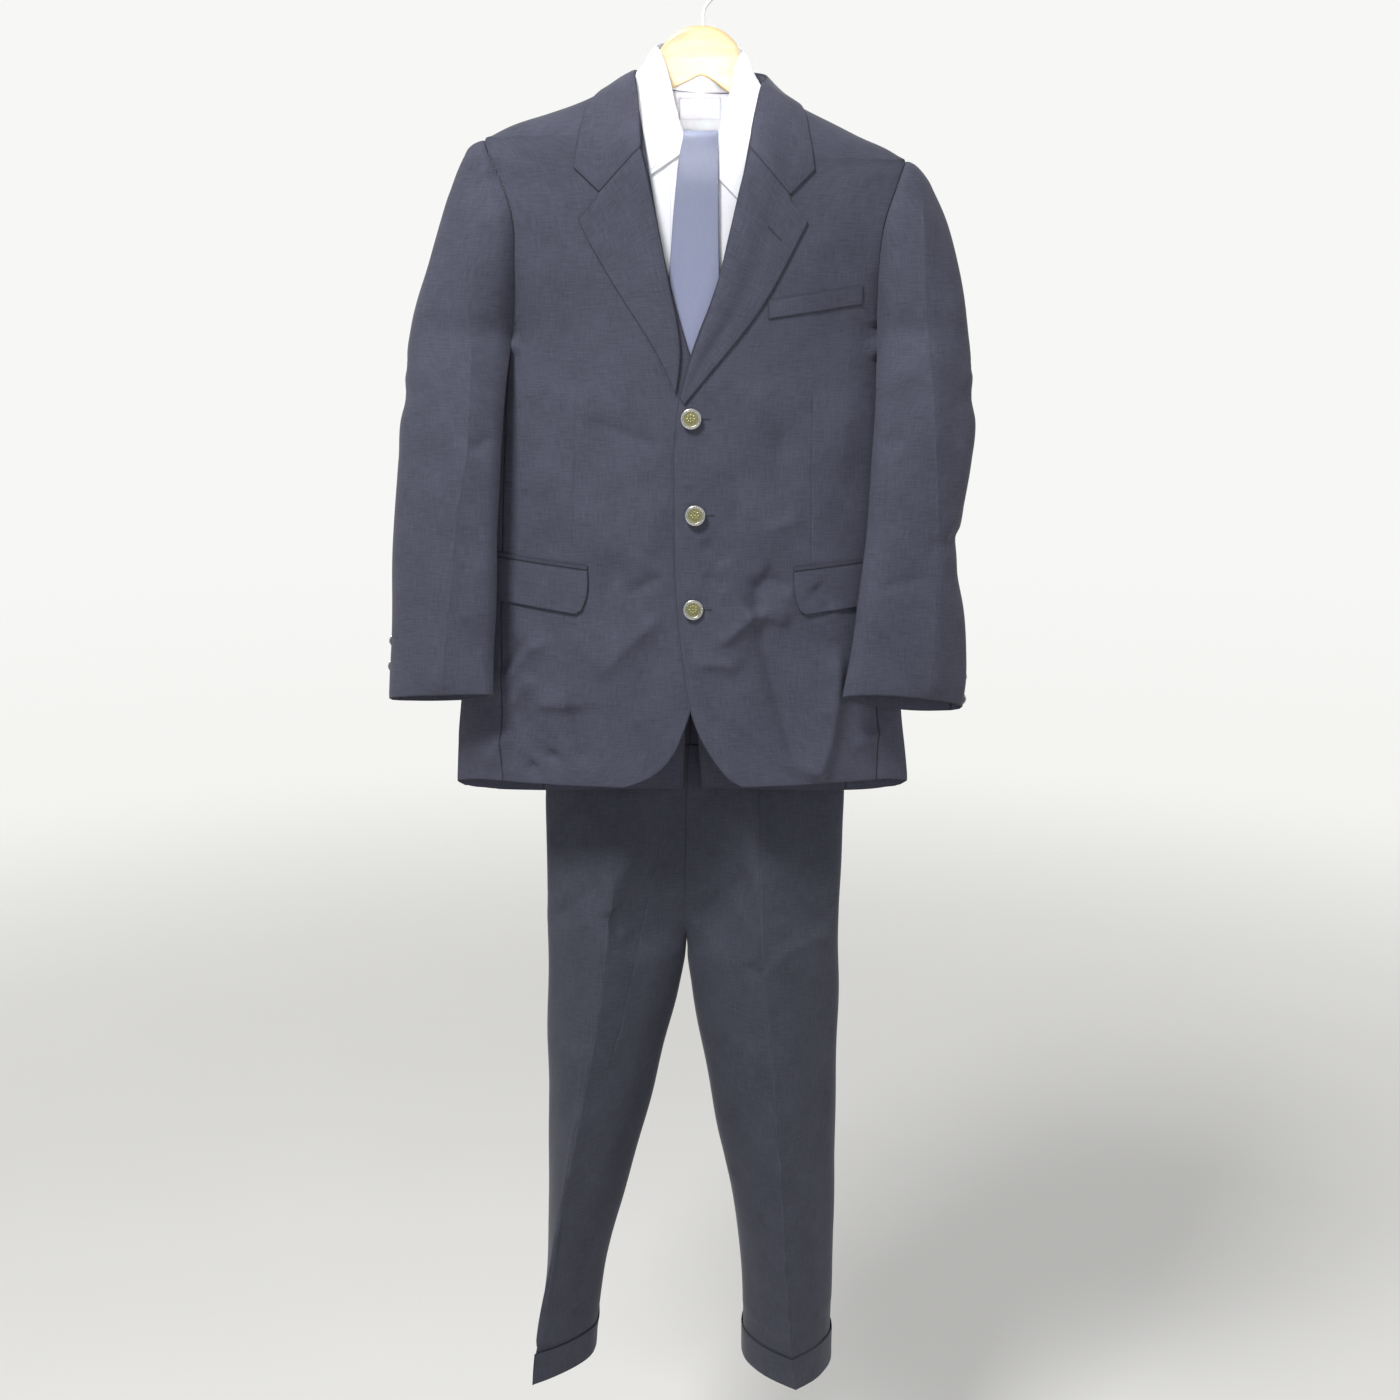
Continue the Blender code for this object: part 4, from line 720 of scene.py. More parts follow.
for side in ("left", "right"):
    sew(f"shirt_front_{side}", step=6, walls=hemmed(f"shirt_front_{side}"), **shirt_grain)
    sew(f"shirt_sleeve_{side}", step=9, rests=(), **shirt_grain)
sew("shirt_back", step=8, **shirt_grain)
sew("shirt_yoke", step=5, **shirt_grain)
sew("shirt_placket", step=5, soft=0.2, walls=hemmed("shirt_placket"), **shirt_grain)

# --------------------------------------------------------------------------- the shirt's collar and its label
# A pointed collar: each leaf is turned down over a stand that is sewn to the neckline, and stitched 5 mm from
# its edge. A small bare label is sewn inside the yoke along its two ends.


def inset_path(points, side, inset, lift=0.25):
    """A line that keeps a distance from one edge of a panel, just above its outer face."""
    raised = points + facing(points) * lift
    strips = raised if side in ("left", "right") else raised.transpose(1, 0, 2)
    if side in ("right", "high"):
        strips = strips[:, ::-1]
    path = []
    for strip in strips:
        walked = walked_along(strip)
        path.append([np.interp(inset, walked, strip[:, axis]) for axis in range(3)])
    path = np.array(path)
    walked = walked_along(path)
    return path[(walked > inset) & (walked < walked[-1] - inset)] / 1000


def open_tree(name, made, **sockets):
    """A new Geometry Nodes tree that makes one geometry, and its inputs' outlets, by name."""
    tree = bpy.data.node_groups.new(name, "GeometryNodeTree")
    for socket, kind in sockets.items():
        tree.interface.new_socket(socket, in_out="INPUT", socket_type=f"NodeSocket{kind}")
    tree.interface.new_socket(made, in_out="OUTPUT", socket_type="NodeSocketGeometry")
    return tree, add_node(tree, "NodeGroupInput").outputs


def close_tree(tree, made, laid, finish):
    """The tree, ended: what is laid becomes real, gets its finish and goes out."""
    real = add_node(tree, "GeometryNodeRealizeInstances", inputs={"Geometry": laid})
    painted = add_node(tree, "GeometryNodeSetMaterial", inputs={
        "Geometry": real.outputs["Geometry"], "Material": finish,
    })
    add_node(tree, "NodeGroupOutput", inputs={made: painted.outputs["Geometry"]})
    return tree


def stitch_tree():
    """Threads laid end to end along a line: inputs for how far apart, how long and how thick they are."""
    tree, given = open_tree("row of stitches", "Stitches", Line="Geometry", Pitch="Float", Length="Float",
                            Thickness="Float", Thread="Material")
    line = add_node(tree, "GeometryNodeMeshToCurve", inputs={"Mesh": given["Line"]})
    even = add_node(tree, "GeometryNodeResampleCurve", {"mode": "LENGTH"}, {
        "Curve": line.outputs["Curve"], "Length": given["Pitch"],
    })
    along = add_node(tree, "GeometryNodeInputTangent")
    turn = add_node(tree, "FunctionNodeAlignRotationToVector", {"axis": "Z"},
                    {"Vector": along.outputs["Tangent"]})
    size = add_node(tree, "ShaderNodeCombineXYZ", inputs={
        "X": given["Thickness"], "Y": given["Thickness"], "Z": given["Length"],
    })
    thread = add_node(tree, "GeometryNodeMeshUVSphere", inputs={"Segments": 6, "Rings": 4, "Radius": 0.5})
    laid = add_node(tree, "GeometryNodeInstanceOnPoints", inputs={
        "Points": even.outputs["Curve"], "Instance": thread.outputs["Mesh"],
        "Rotation": turn.outputs["Rotation"], "Scale": size.outputs["Vector"],
    })
    return close_tree(tree, "Stitches", laid.outputs["Instances"], given["Thread"])


def grown(name, tree, mesh, **values):
    """What a node tree makes from a mesh, as a plain piece."""
    host = linked(name, mesh)
    modifier = host.modifiers.new("made", "NODES")
    modifier.node_group = tree
    for item in tree.interface.items_tree:
        if item.in_out == "INPUT" and item.name in values:
            modifier[item.identifier] = values[item.name]
    bpy.context.view_layer.update()
    made = bpy.data.meshes.new_from_object(host.evaluated_get(bpy.context.evaluated_depsgraph_get()))
    host.modifiers.remove(modifier)
    host.data = made
    return host


def line_mesh(paths):
    mesh = bpy.data.meshes.new("line")
    points, edges = [], []
    for path in paths:
        edges += [(len(points) + i, len(points) + i + 1) for i in range(len(path) - 1)]
        points += [tuple(float(value) for value in point) for point in path]
    mesh.from_pydata(points, edges, [])
    return mesh


def stitch(name, paths, thread, pitch=0.0026, length=0.0021, thickness=0.0005):
    piece = grown(name, stitches, line_mesh(paths), Pitch=pitch, Length=length, Thickness=thickness,
                  Thread=thread)
    smoothed(piece.data)
    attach(piece, "root")
    return piece


def spun_thread(name, light_code, dark_code):
    """Mercerised sewing thread: two plies whose twist shows as a fine light and dark change."""
    material, tree, shader = new_finish(name, 0.55, Sheen_Weight=0.2)
    finish_with(tree, shader, blended(tree, noise(tree, spot(tree), 900.0), dark_code, light_code))
    return material


stitches = stitch_tree()
white_thread = spun_thread("white cotton thread", "#E9EAEF", "#C4C6D0")
for side in ("left", "right"):
    leaf, leaf_points = sew(f"shirt_collar_leaf_{side}", step=3, soft=0.15, groove=2.5, declare=False,
                            **shirt_grain)
    rows = [inset_path(leaf_points, edge, 5) for edge in ("low", "left", "right")]
    seen = stitch(f"collar_stitches_{side}", rows, white_thread)
    area = sum(face.area for face in leaf.data.polygons) / 2
    size = (0.075, max(0.2, area / 0.07))
sew("shirt_collar_stand", step=3.5, soft=0.2, **shirt_grain)
label, label_points = sew("shirt_label", step=3, soft=0.1, declare=False, **shirt_grain)
label_rows = [inset_path(label_points, edge, 1.6) for edge in ("left", "right")]
label_stitches = stitch("label_stitches", label_rows, white_thread, pitch=0.0022,
                        length=0.0018)
size = [float(high - low) for low, high in zip(*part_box("shirt_label"))]

# ---------------------------------------------------------------------------------------------------- the tie
# A plain satin tie, folded and pressed with its interlining inside: it comes down from under the collar,
# turns over at the top where a knot would sit, and hangs behind itself. Satin throws a soft sheen down its
# length, and its colour is painted darker towards the top as shade from the collar.

TIE_ROWS = [
    # right, left, y and z of each row, in mm, from the bottom of the front up and over
    (-6.4, -5.6, -51.0, -560), (-40, 28, -51.0, -526), (-33, 22, -51.6, -371), (-28.6, 18.7, -51.8, -270),
    (-24.5, 18.2, -52.4, -220), (-19.5, 18, -53.2, -178), (-15.8, 17.4, -54.0, -160.5),
    (-15.5, 17, -51.0, -156.6), (-14.9, 16.6, -45.0, -156.6), (-14.6, 16.4, -41.6, -161.8),
    (-14, 15, -41.3, -190), (-13, 14, -40.5, -260),
]


def tie_walls():
    rows, spread = np.array(TIE_ROWS), np.linspace(0, 1, 7)
    across = rows[:, :1] + (rows[:, 1:2] - rows[:, :1]) * spread
    outer = np.stack([across, np.repeat(rows[:, 2:3], 7, axis=1), np.repeat(rows[:, 3:4], 7, axis=1)], axis=2)
    outer[4:9, :, 2] -= 1.2 * np.sin(np.pi * spread) * np.array([0.1, 0.4, 1, 1, 1])[:, None]
    # the tie is a flattened tube: its middle stands a little prouder than its pressed edges
    way = facing(outer)
    crown = np.sin(np.pi * spread) ** 0.7
    return [outer + way * (0.5 * crown - 0.5)[None, :, None],
            outer - way * (2.0 - 0.1 * crown)[None, :, None]]


def tie_folds(spots, ways):
    return creased(spots[:, [0, 2]], [
        (0.5, 9, 14, 0.4, 0.4, [(2, -190), (-6, -290), (-4, -400)]),
        (-0.5, 6, 6, 0.4, 0.4, [(-14, -168), (4, -176), (16, -170)]),
    ])


satin, tree, shader = new_finish("mercerised satin", 0.42, Sheen_Weight=0.25, Sheen_Roughness=0.35,
                                 Specular_IOR_Level=0.42, Anisotropic=0.5)
flat = add_node(tree, "ShaderNodeUVMap", {"uv_map": "flat"})
# The satin's floats run across on the bias; real ones are 0.2 mm wide and are drawn 0.8 mm wide.
bias = add_node(tree, "ShaderNodeMapping", inputs={
    "Vector": flat.outputs["UV"], "Rotation": (0, 0, math.radians(45)), "Scale": (1250, 120, 1),
})
floats = add_node(tree, "ShaderNodeTexNoise",
                  inputs={"Vector": bias.outputs["Vector"], "Scale": 1.0, "Detail": 3.0})
# painted shade: the tie's colour darkens towards its top, under the collar
climb = add_node(tree, "ShaderNodeSeparateXYZ", inputs={"Vector": spot(tree)}).outputs["Z"]
shaded_tone = blended(tree, ranged(tree, climb, -0.34, -0.16), "#8085A0", "#747A8F")
finish_with(tree, shader, blended(tree, 0.16, shaded_tone, floats.outputs["Color"], "OVERLAY"),
            relief=floats.outputs["Fac"])
sew("tie", satin, "tie_silk", step=2.5, folds=tie_folds, soft=0.15, groove=3, wave=0.3, round_edge=0.5,
    rests=("shirt_collar_stand_cloth",), walls=tie_walls())

# --------------------------------------------------------------------------------------- the blazer's sleeves
# A single-breasted wool-blend blazer. Its two-piece sleeves are pressed flat, so that each has a crease down
# its front, and crumple a little at the elbow. The body's armholes are drawn onto the sleeves' edges. The
# cloth is a matt fine twill; its threads are 0.5 mm apart and are drawn 1.2 mm apart.

SLEEVE_FOLDS = {
    "left": [
        (6.2, 13.5, 11.7, 0.1, 0.05, [(212, -192), (219, -208), (221, -261), (229, -346), (236, -434),
                                      (239, -496), (244, -558), (243, -619), (241, -682), (240, -735)]),
        (-3.4, 6.3, 6.3, [(180, -606), (204, -600), (236, -595)]),
        (-3.0, 5.4, 5.4, [(186, -452), (206, -461)]),
        (3.1, 8.1, 8.1, [(262, -520), (248, -556), (256, -600)]),
        (-3.4, 6.3, 8.1, [(268, -548), (250, -562), (228, -560)]),
        (2.3, 8.1, 8.1, [(200, -300), (196, -360), (204, -420)]),
        (-2.3, 9, 9, [(250, -380), (262, -420), (260, -470)]),
    ],
    "right": [
        (5.9, 12.6, 14.4, 0.1, 0.05, [(-229, -170), (-236, -223), (-235, -261), (-228, -328), (-229, -384),
                                      (-231, -433), (-233, -472), (-243, -515), (-252, -593), (-261, -659),
                                      (-266, -702), (-268, -730)]),
        (-3.6, 6.3, 6.3, [(-233, -468), (-219, -458), (-206, -449)]),
        (3.1, 9, 9, [(-284, -486), (-268, -516), (-265, -556)]),
        (-3.1, 4.5, 4.5, 0.2, 0.3, [(-211, -193), (-200, -212), (-196, -236)]),
        (-2.6, 8.1, 8.1, [(-290, -420), (-276, -452), (-282, -490)]),
        (2.5, 8.1, 8.1, [(-222, -560), (-232, -610), (-228, -660)]),
    ],
}
SLEEVE_BACK_FOLDS = {
    "left": [
        (3.6, 13, 13, 0.2, 0.1, [(230, -380), (226, -470), (222, -560), (216, -640), (214, -730)]),
        (-3.0, 7, 8, [(190, -470), (222, -486), (252, -480)]),
        (2.5, 8, 7, [(186, -530), (214, -520), (246, -530)]),
    ],
    "right": [
        (3.6, 13, 13, 0.2, 0.1, [(-244, -380), (-250, -470), (-256, -560), (-264, -640), (-270, -715)]),
        (-3.0, 7, 8, [(-214, -476), (-246, -490), (-280, -482)]),
        (2.5, 8, 7, [(-216, -536), (-250, -524), (-290, -534)]),
    ],
}
# the suiting's seam colour is painted shade, laid along its sewn edges and darts
suiting = woven("wool-blend suiting", 0.86, 0.0012, "#4F505F", "#2F303B", "#1D1D25", 0.5, 0.12, twill=True)
PRESSED = {
    # the sharp line that the iron leaves down the middle of each sleeve's front
    "left": [(-0.55, 1.2, (221, -215), (223, -290), (230, -370), (236, -434), (240, -496), (244, -558))],
    "right": [(-0.55, 1.2, (-232, -190), (-236, -240), (-232, -300), (-229, -384), (-231, -433), (-234, -475),
               (-244, -520), (-253, -600), (-262, -664), (-267, -708))],
}
UNDERARM_Z = -372  # mm: the armholes end here
armholes = {}
for side in ("left", "right"):
    sleeve_grain = dict(finish=suiting, slot="suiting",
                        folds=hung_folds(SLEEVE_FOLDS[side], SLEEVE_BACK_FOLDS[side]))
    _, top = sew(f"jacket_top_sleeve_{side}", rests=(), lines=PRESSED[side], **sleeve_grain)
    armholes[side] = [top[top[:, edge, 2] > UNDERARM_Z][:, edge] for edge in (0, -1)]
    sew(f"jacket_under_sleeve_{side}", step=5, rests=(), **sleeve_grain)

# ------------------------------------------------------------------------------------------ the blazer's body
# Two fronts with a waist dart each, side panels, and a back in two halves with a vent. A welt pocket is set
# on the wearer's left breast, and jetted pockets with flaps at the hips.

FRONT_FOLDS = [
    (-4.1, 6.6, 8.4, [(-126, -439), (-101, -441), (-76, -450), (-45, -460), (-31, -455)]),
    (7.1, 7.5, 5.6, [(-210, -717), (-198, -700), (-178, -675), (-153, -660)]),
    (-5.4, 5.6, 5.6, [(-209, -706), (-200, -684), (-181, -662)]),
    (6.5, 6.6, 6.6, [(-204, -742), (-190, -722), (-173, -700)]),
    (6.5, 13.1, 4.6, 0.3, 0.2, [(-177, -737), (-161, -733), (-133, -732)]),
    (-6.5, 6.6, 5.6, 0.2, 0.3, [(-131, -730), (-129, -756), (-125, -788), (-123, -804)]),
    (7.1, 7.5, 7.5, [(-233, -807), (-210, -775), (-196, -765)]),
    (-5.4, 5.6, 5.6, [(-186, -808), (-173, -797)]),
    (-5.4, 5.6, 5.6, [(-162, -795), (-153, -782)]),
    (7.6, 10.2, 9.4, 0.3, 0.25, [(-112, -707), (-76, -668), (-36, -631)]),
    (-4.8, 8.4, 8.4, [(-85, -567), (-95, -609), (-104, -656)]),
    (-4.8, 5.6, 5.6, 0.3, 0.25, [(-80, -617), (-62, -606), (-36, -593)]),
    (9.0, 5.6, 11.2, 0.12, 0.4, [(60, -632), (34, -653), (13, -673)]),
    (5.8, 7.5, 6.6, 0.12, 0.4, [(60, -632), (80, -641), (97, -646)]),
    (-7.7, 14.1, 5.6, 0.1, 0.25, [(60, -632), (62, -658), (76, -708), (92, -762), (109, -819)]),
    (-6.5, 5.6, 5.6, 0.4, 0.15, [(60, -591), (59, -632)]),
    (-5.4, 5.6, 5.6, 0.2, 0.4, [(62, -591), (82, -602), (98, -612)]),
    (5.8, 10.2, 4.6, [(-10, -689), (7, -686), (28, -687), (45, -696)]),
    (-3.6, 5.6, 5.6, [(3, -590), (28, -608)]),
    (12.4, 5.6, 12.1, 0.25, 0.1, [(146, -665), (144, -711), (136, -776), (122, -820)]),
    (5.8, 6.6, 6.6, [(160, -787), (177, -773), (204, -765)]),
    (3.6, 8.4, 8.4, [(58, -550), (82, -542), (110, -536)]),
    (-2.9, 5.6, 5.6, [(35, -475), (38, -516), (36, -557)]),
    (-4.1, 5.6, 5.6, [(0, -556), (15, -569), (26, -587)]),
    (-3.6, 4.6, 4.6, 0.2, 0.4, [(116, -605), (130, -618), (141, -640)]),
    (4.1, 11.2, 11.2, 0.4, 0.4, [(-150, -470), (-146, -520), (-152, -566)]),
    (3.6, 13.1, 13.1, 0.4, 0.4, [(-60, -500), (-48, -545), (-52, -585)]),
    (-3.6, 11.2, 11.2, 0.4, 0.4, [(88, -430), (78, -480), (86, -520)]),
    (3.5, 13.1, 13.1, 0.4, 0.4, [(150, -400), (146, -450), (152, -500)]),
]
BACK_FOLDS = [
    (-4.0, 8.9, 11.9, [(-120, -330), (-92, -395), (-84, -470)]),
    (4.2, 11.9, 8.9, [(118, -318), (96, -390), (92, -468)]),
    (4.5, 8.9, 13.9, 0.3, 0.2, [(-70, -560), (-78, -640), (-72, -740), (-80, -830)]),
    (-4.2, 12.9, 7.9, 0.3, 0.2, [(62, -570), (74, -660), (70, -760), (82, -836)]),
    (-3.8, 6.9, 6.9, [(-150, -520), (-110, -546), (-60, -548)]),
    (3.4, 5.9, 9.9, [(150, -530), (104, -556), (48, -552)]),
    (3.8, 7.9, 7.9, [(-35, -600), (-58, -650), (-66, -712)]),
    (-3.2, 6.9, 6.9, [(30, -612), (48, -668), (40, -730)]),
    (3.0, 8.9, 8.9, [(-160, -680), (-150, -740), (-160, -800)]),
    (-3.0, 8.9, 8.9, [(140, -690), (128, -750), (140, -806)]),
    (3.2, 7.9, 9.9, [(-60, -190), (-40, -230), (-44, -280)]),
    (-2.9, 7.9, 7.9, [(46, -200), (32, -246), (40, -300)]),
]


blazer_grain = dict(finish=suiting, slot="suiting", folds=hung_folds(FRONT_FOLDS, BACK_FOLDS))
DARTS = {
    "left": [(0.9, 1.3, (114, -408), (115, -582))],
    "right": [(0.9, 1.3, (-125, -404), (-132, -581))],
}
WELT_SUNK = 0.55  # mm: the welt is pressed nearly flush with the breast, so that only its seams show
trims = {side: [sew(f"pocket_jet_{side}", step=3, soft=0.1, declare=False, **blazer_grain)[0]]
         for side in ("left", "right")}
trims["left"].append(sew("chest_welt", step=3, soft=0.15, groove=2.0, declare=False,
                         walls=[wall + (0, WELT_SUNK, 0) for wall in cad_wall("chest_welt")],
                         **blazer_grain)[0])
fronts = {}
for side in ("left", "right"):
    fronts[side], _ = sew(f"jacket_front_{side}", step=3.2, meets=armholes[side], lines=DARTS[side],
                          with_pieces=trims[side], **blazer_grain)
    sew(f"jacket_side_{side}", step=5, meets=armholes[side], **blazer_grain)
    sew(f"jacket_back_{side}", meets=armholes[side], **blazer_grain)
    # a flap hangs free from its jets, so that its edge stands a little off the front
    sew(f"pocket_flap_{side}", step=3, soft=0.3, groove=2.5, rests=(f"jacket_front_{side}_cloth",),
        **blazer_grain)

# ----------------------------------------------------------------------------- the blazer's collar and lapels
# The collar's fall is turned down over its stand round the neck, and meets the lapels at the notch. The
# lapels are the fronts' edges, rolled back softly above the top button.

sew("jacket_collar_stand", step=4, soft=0.3, **blazer_grain)
_, fall = sew("jacket_collar_fall", step=3, soft=0.4, groove=2.5, hold="folded",
              rests=("jacket_collar_stand_cloth",), **blazer_grain)
lapels = {}
for side, end in (("left", 0), ("right", -1)):
    lapels[side], _ = sew(f"jacket_lapel_{side}", step=3, meets=(fall[end],), limit=3.4, soft=0.4, groove=2.5,
                          hold="folded", rests=(f"jacket_front_{side}_cloth",), **blazer_grain)

# ----------------------------------------------------------------------------------------------- the trousers
# Trousers of a lighter plain-weave wool blend, pressed with a sharp crease down the front of each leg.
# They have a plain waistband and turned-up hems, and hang from two clips.

TROUSER_FRONT_FOLDS = [
    (3.2, 24, 24, 0.05, 0.02, [(-84, -780), (-88, -848), (-107, -990), (-129, -1141), (-154, -1301),
                               (-187, -1521)]),
    (3.2, 24, 24, 0.05, 0.02, [(66, -780), (69, -953), (73, -1099), (86, -1222), (101, -1436), (106, -1506)]),
    (-5.3, 6, 8.5, 0.25, 0.25, [(-170, -1010), (-144, -980), (-104, -947)]),
    (3.7, 5.1, 6.8, [(-170, -1024), (-140, -1004), (-106, -995)]),
    (-5.3, 4.2, 4.2, 0.2, 0.3, [(-106, -984), (-97, -998), (-88, -1016)]),
    (-7.0, 8.5, 6.8, 0.25, 0.25, [(-9, -1016), (19, -980), (61, -936)]),
    (4.3, 8.5, 7.6, 0.25, 0.25, [(-6, -1035), (19, -1014), (57, -979)]),
    (-5.8, 6, 6, 0.25, 0.1, [(53, -1043), (68, -1056)]),
    (-4.7, 5.1, 5.1, 0.25, 0.25, [(78, -945), (109, -974), (153, -1018)]),
    (-3.5, 6.8, 6, 0.25, 0.25, [(73, -982), (109, -995), (153, -1018)]),
    (5.4, 6.8, 7.6, 0.2, 0.25, [(75, -1049), (99, -1029), (130, -1022), (153, -1021)]),
    (-2.9, 6.8, 6.8, [(31, -1320), (58, -1294), (87, -1281)]),
    (-2.9, 7.6, 7.6, [(-150, -1240), (-138, -1200), (-142, -1150)]),
    (2.5, 8.5, 8.5, [(120, -1400), (132, -1360), (128, -1310)]),
]
TROUSER_BACK_FOLDS = [
    (-4.0, 8, 10, 0.25, 0.25, [(-165, -1000), (-130, -1030), (-95, -1042)]),
    (3.2, 8, 8, 0.25, 0.25, [(-150, -960), (-110, -985), (-60, -992)]),
    (-3.8, 9, 8, 0.25, 0.25, [(150, -996), (112, -1026), (70, -1040)]),
    (3.0, 8, 9, 0.25, 0.25, [(140, -950), (96, -978), (40, -990)]),
    (-2.6, 7, 7, [(-60, -1210), (-90, -1236), (-124, -1240)]),
    (-2.4, 7, 7, [(60, -1190), (92, -1214), (130, -1212)]),
    (2.0, 9, 9, [(-140, -1360), (-118, -1400), (-124, -1450)]),
]
# the trousers' seam colour is painted shade, laid along their sewn edges and the inseam's groove
tropical = woven("tropical wool blend", 0.84, 0.0011, "#454753", "#2A2B34", "#1B1B21", 0.4, 0.1)
trouser_grain = dict(finish=tropical, slot="trouser_cloth",
                     folds=hung_folds(TROUSER_FRONT_FOLDS, TROUSER_BACK_FOLDS))
held_by = dict(rests=("clip_left", "clip_right"))
CREASES = {
    "right": [(-86, -820), (-88, -848), (-99, -944), (-107, -990), (-116, -1071), (-129, -1141),
              (-140, -1219), (-154, -1301), (-175, -1443), (-187, -1521)],
    "left": [(67, -820), (68, -849), (69, -953), (69, -1023), (73, -1099), (86, -1222), (93, -1295),
             (101, -1436), (106, -1506)],
}
INSEAM = (0.5, 1.1, (-34, -864), (-50, -939), (-66, -1011), (-91, -1123), (-106, -1182))
FORK_X, FORK_Z = -15.4, -1047
LAPS = {
    # how far each leg's inner edge goes over the fork, in x and y
    "left": (-2.6, -0.7), "right": (1.4, 0.0),
}


def closed(node, lap):
    """A leg's panel whose inner edge laps its neighbour's a little above the fork, where both are sewn
    together."""
    walls = cad_wall(node)
    for wall in walls:
        near = np.exp(-(((wall[..., 0] - FORK_X) / 10) ** 2)) * smooth_step((wall[..., 2] - FORK_Z) / 14)
        wall[..., :2] += near[..., None] * lap
    return walls


def raised_top(node, rise=7, foot=-784, reach=16):
    """A waistband whose folded top edge stands up a little."""
    walls = cad_wall(node)
    for wall in walls:
        wall[..., 2] += rise * np.clip((wall[..., 2] - foot) / reach, 0, 1)
    return walls


for side in ("left", "right"):
    seams = [(-1.1, 5, *CREASES[side])] + ([INSEAM] if side == "right" else [])
    for face, lines in (("front", seams), ("back", [])):
        node = f"trouser_{face}_{side}"
        sew(node, lines=lines, walls=closed(node, LAPS[side]), **trouser_grain, **held_by)
    sew(f"waistband_{side}", soft=0.4, walls=raised_top(f"waistband_{side}"), **trouser_grain, **held_by)
    sew(f"turn_up_{side}", step=3, soft=0.4, groove=2.5, hold="folded",
        rests=(f"trouser_front_{side}_cloth",), **trouser_grain)

# --------------------------------------------------------------------------------- the wooden hanger and hook
# A plain beech hanger, sawn in one bow with a hump at the neck, its edges rounded and varnished. Its hook is
# steel wire, dipped in white plastic and screwed into the hump.

HOOK_LINE = [
    (3.5, -55.4), (3.5, -48), (3.6, -41), (6.5, -35.2), (12.4, -28.4), (16.3, -22.6), (17.6, -16),
    (16.6, -10.2), (13.6, -4.8), (8.8, -0.8), (3.0, 1.35), (-3.0, 1.35), (-8.8, -0.8), (-13.6, -4.8),
    (-16.6, -10.2), (-17.5, -16.5), (-16.2, -22), (-13.4, -26),
]


def shell(name, points, faces, finish):
    """A closed mesh from points in mm, with its faces turned outwards."""
    mesh = bpy.data.meshes.new(name)
    mesh.from_pydata([tuple(np.array(point) / 1000) for point in points], [], faces)
    grid = bmesh.new()
    grid.from_mesh(mesh)
    bmesh.ops.remove_doubles(grid, verts=grid.verts, dist=1e-6)
    bmesh.ops.recalc_face_normals(grid, faces=grid.faces)
    grid.to_mesh(mesh)
    grid.free()
    mesh.materials.append(finish)
    return mesh


def band(size, count):
    """The faces between the rings of a surface, each ring of the same size."""
    return [(ring * size + i, ring * size + j, (ring + 1) * size + j, (ring + 1) * size + i)
            for ring in range(count - 1) for i, j in zip(range(size), [*range(1, size), 0])]


def skin(name, rings, finish):
    """A smooth closed surface over rings of equal counts, in mm, with a fan over each end."""
    size = len(rings[0])
    points = [point for ring in rings for point in ring]
    faces = band(size, len(rings))
    for ring in (0, len(rings) - 1):
        points.append(np.mean(rings[ring], axis=0))
        faces += [(ring * size + i, ring * size + (i + 1) % size, len(points) - 1) for i in range(size)]
    mesh = shell(name, points, faces, finish)
    smoothed(mesh)
    return mesh


def smooth_line(points, step):
    """The points of a smooth line through the given ones, evenly spaced."""
    points = np.array(points, float)
    knots = walked_along(points)
    places = np.linspace(0, knots[-1], max(int(knots[-1] / step), 2) + 1)
    return curve_through(knots, np.repeat(points[:, None], 3, axis=1), places)[:, 1]


def wire_mesh(name, points, radius, finish, sides=16, step=1.2):
    """A round wire along a line, with rounded tips."""
    line = smooth_line(points, step)
    ahead = np.gradient(line, axis=0)
    ahead /= np.linalg.norm(ahead, axis=1, keepdims=True)
    turns = np.linspace(0, 2 * math.pi, sides, endpoint=False)
    side, rings = np.array([0.0, 1.0, 0.0]), []
    for way in ahead:
        side = side - way * (side @ way)
        side /= np.linalg.norm(side)
        rings.append(np.cos(turns)[:, None] * side + np.sin(turns)[:, None] * np.cross(way, side))

    def tip(end, ring, way):
        return [line[end] + way * radius * (1 - math.cos(turn)) + ring * radius * math.sin(turn)
                for turn in (0.35, 0.8, 1.2)]

    made = tip(0, rings[0], ahead[0])
    made += [point + ring * radius for point, ring in zip(line[2:-2], rings[2:-2])]
    made += tip(-1, rings[-3], -ahead[-1])[::-1]
    return skin(name, made, finish)


def hanger_sections():
    """The hanger's sections from end to end, each a smooth ring through the frame's eight corners there."""
    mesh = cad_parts["hanger_wood"].data
    points = np.array([vert.co[:] for vert in mesh.vertices]) * 1000
    sections, rings = {}, []
    for point in points:
        section = sections.setdefault(round(float(point[0]), 1), set())
        section.add(tuple(round(float(value), 2) for value in point))
    for x in sorted(sections):
        ring = np.array(sorted(sections[x]))
        centre = ring.mean(axis=0)
        ring = ring[np.argsort(np.arctan2(ring[:, 2] - centre[2], ring[:, 1] - centre[1]))]
        if len(ring) == 8:
            rings.append(ring)
    rings = np.array(rings)
    wrapped = np.concatenate([rings[:, -2:], rings, rings[:, :3]], axis=1)
    fine = curve_through(np.arange(13.0), wrapped.transpose(1, 0, 2), np.linspace(2, 10, 32, endpoint=False))
    along = rings[:, :, 0].mean(axis=1)
    places = np.unique(np.concatenate([np.linspace(along[0], along[-1], 110), along]))
    return curve_through(along, fine.transpose(1, 0, 2), places)


